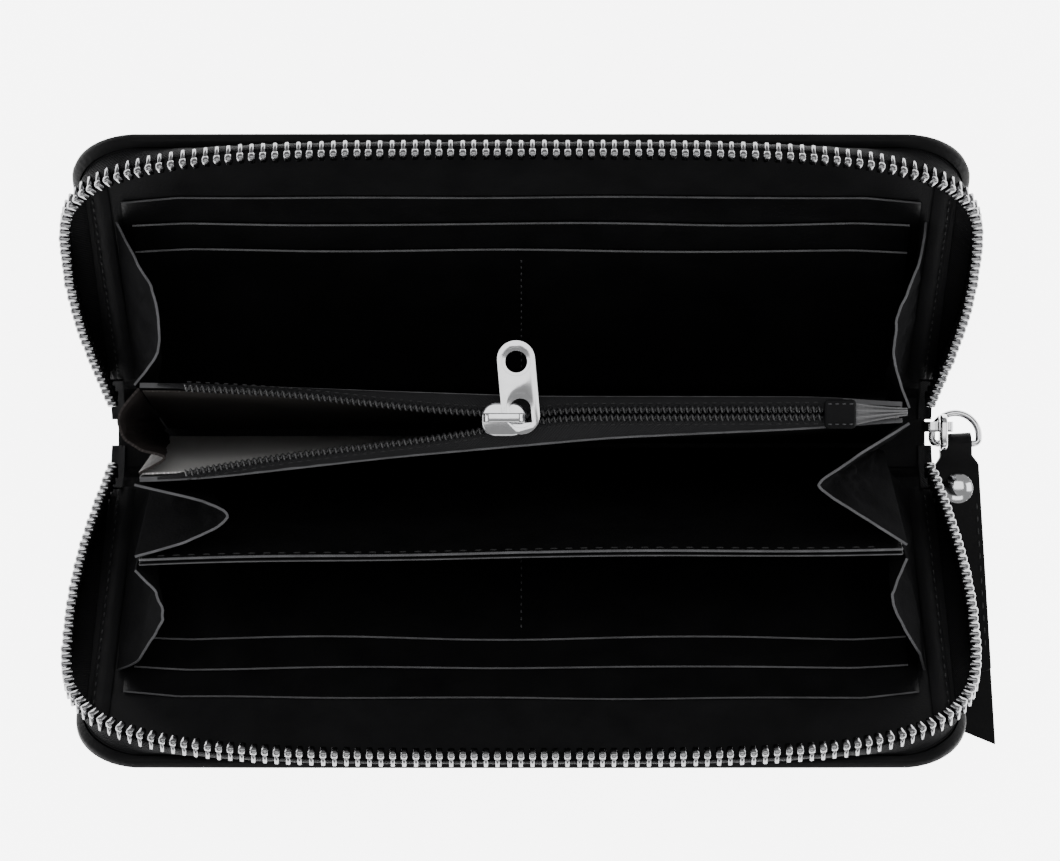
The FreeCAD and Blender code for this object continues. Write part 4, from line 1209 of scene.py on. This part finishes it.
hook = shaped_grid("main_bail", 4, 64, hook_place, (0.0024, 0.03))
thicken(hook, 0.85 * MM, offset=0, edge=0.2 * MM)
dress(hook, nickel, "nickel", "main_slider_bail")
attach(hook, "main_slider")

# ---------------------------------------------------------------------------
# D-ring: round nickel-plated wire bent to a half circle with a straight bar,
# its ends butted and soldered under the strap.
RING = Vector((101.4, -1.0, 2.5)) * MM
RING_RADIUS = 5.5 * MM
ring_path = [RING + Vector((math.cos(math.radians(a)), math.sin(math.radians(a)), 0)) * RING_RADIUS
             for a in range(0, 181, 5)]
for start, corner_x in ((180, -4.3), (270, 4.3)):
    for step in range(0, 91, 15):
        turn = math.radians(start + step)
        corner = RING + Vector((corner_x, -0.4, 0)) * MM
        ring_path.append(corner + Vector((math.cos(turn), math.sin(turn), 0)) * 1.2 * MM)
ring = sweep("ring_wire", ring_path, 0.8 * MM, 14, True)
dress(ring, nickel, "nickel", "d_ring")
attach(ring, "pull_ring")

# ---------------------------------------------------------------------------
# Wrist strap: one strip of the cover's calf folded round the ring's bar, its
# lower ply longer and cut on the bias, stitched along both edges.
STRAP_PLACE = Matrix.Translation(Vector((101.4, -2.6, 2.5)) * MM) @ Matrix.Rotation(math.radians(3.5), 4, "Z")
STRAP_HALF = 5.2 * MM
NECK_HALF = 3.7 * MM
FOLD_RADIUS = 1.8 * MM
UPPER_LEVEL = -0.5 * MM
DROP_RUN = 7 * MM
UPPER_RUN, LOWER_RUN = 53 * MM, 71 * MM
FOLD_RUN = math.pi * FOLD_RADIUS
BIAS = 5 * MM


def strap_spot(across, v):
    """A point of the strip, from the upper ply's end over the fold to the lower ply's end."""
    run = v * (UPPER_RUN + FOLD_RUN + LOWER_RUN)
    if run < UPPER_RUN:
        y = run - UPPER_RUN
        settle = min(1, -y / DROP_RUN)
        z = FOLD_RADIUS - (FOLD_RADIUS - UPPER_LEVEL) * settle * (2 - settle)
    elif run < UPPER_RUN + FOLD_RUN:
        angle = (run - UPPER_RUN) / FOLD_RADIUS
        y, z = FOLD_RADIUS * math.sin(angle), FOLD_RADIUS * math.cos(angle)
    else:
        y, z = UPPER_RUN + FOLD_RUN - run, -FOLD_RADIUS
    half = NECK_HALF + (STRAP_HALF - NECK_HALF) * min(1, max(0, (-3 * MM - y) / (2 * MM)))
    x = (2 * across - 1) * half
    if run > UPPER_RUN + FOLD_RUN and y < -LOWER_RUN + 12 * MM:
        y += BIAS * (1 - across) * (-LOWER_RUN + 12 * MM - y) / (12 * MM)
    y -= 0.8 * MM * (1 - (2 * across - 1) ** 4) * (run < 1 * MM)
    return STRAP_PLACE @ Vector((x, y, z))


strap = shaped_grid("strap_strip", 16, 220, strap_spot, (0.0104, 0.13))
thicken(strap, 1.15 * MM, offset=0, edge=0.25 * MM)
dress(strap, cover_leather, "leather", "strap_leather")
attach(strap, "wrist_strap")


def strap_seam(side):
    def line(pitch):
        for number in range(int(36 * MM / pitch)):
            along = -15 * MM - number * pitch
            point = Vector((side * (STRAP_HALF - 1.1 * MM), along, UPPER_LEVEL + 0.62 * MM))
            turned = STRAP_PLACE.to_3x3()
            yield STRAP_PLACE @ point, turned @ Vector((0, -1, 0)), Vector((0, 0, 1))
    return line


for side, name in ((-1, "left"), (1, "right")):
    seam("strap_seam_" + name, strap_seam(side), 2.9 * MM, 2.0 * MM, 0.4 * MM, thread, "wrist_strap")

# ---------------------------------------------------------------------------
# Rivet: a domed nickel cap pressed on a tubular post through both plies.
bpy.ops.mesh.primitive_uv_sphere_add(segments=40, ring_count=24, radius=1, location=(0, 0, 0))
rivet = bpy.context.object
rivet.name = "rivet_cap"
for vertex in rivet.data.vertices:
    around = math.hypot(vertex.co.x, vertex.co.y)
    dome = 1.3 * (1 - around ** 2.6) if vertex.co.z > 0 else -0.05
    vertex.co = Vector((vertex.co.x * 3.6, -10.5 + vertex.co.y * 3.6, 0.15 + dome)) * MM
bpy.ops.mesh.primitive_cylinder_add(vertices=24, radius=1.4 * MM, depth=2.4 * MM, location=(0, -10.5 * MM, -1.1 * MM))
post = bpy.context.object
bpy.ops.object.transform_apply(location=True)
bpy.ops.object.select_all(action="DESELECT")
for piece in (post, rivet):
    piece.select_set(True)
bpy.context.view_layer.objects.active = rivet
bpy.ops.object.join()
rivet.data.transform(STRAP_PLACE)
smooth(rivet, 35)
dress(rivet, nickel, "nickel", "strap_rivet")
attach(rivet, "wrist_strap")
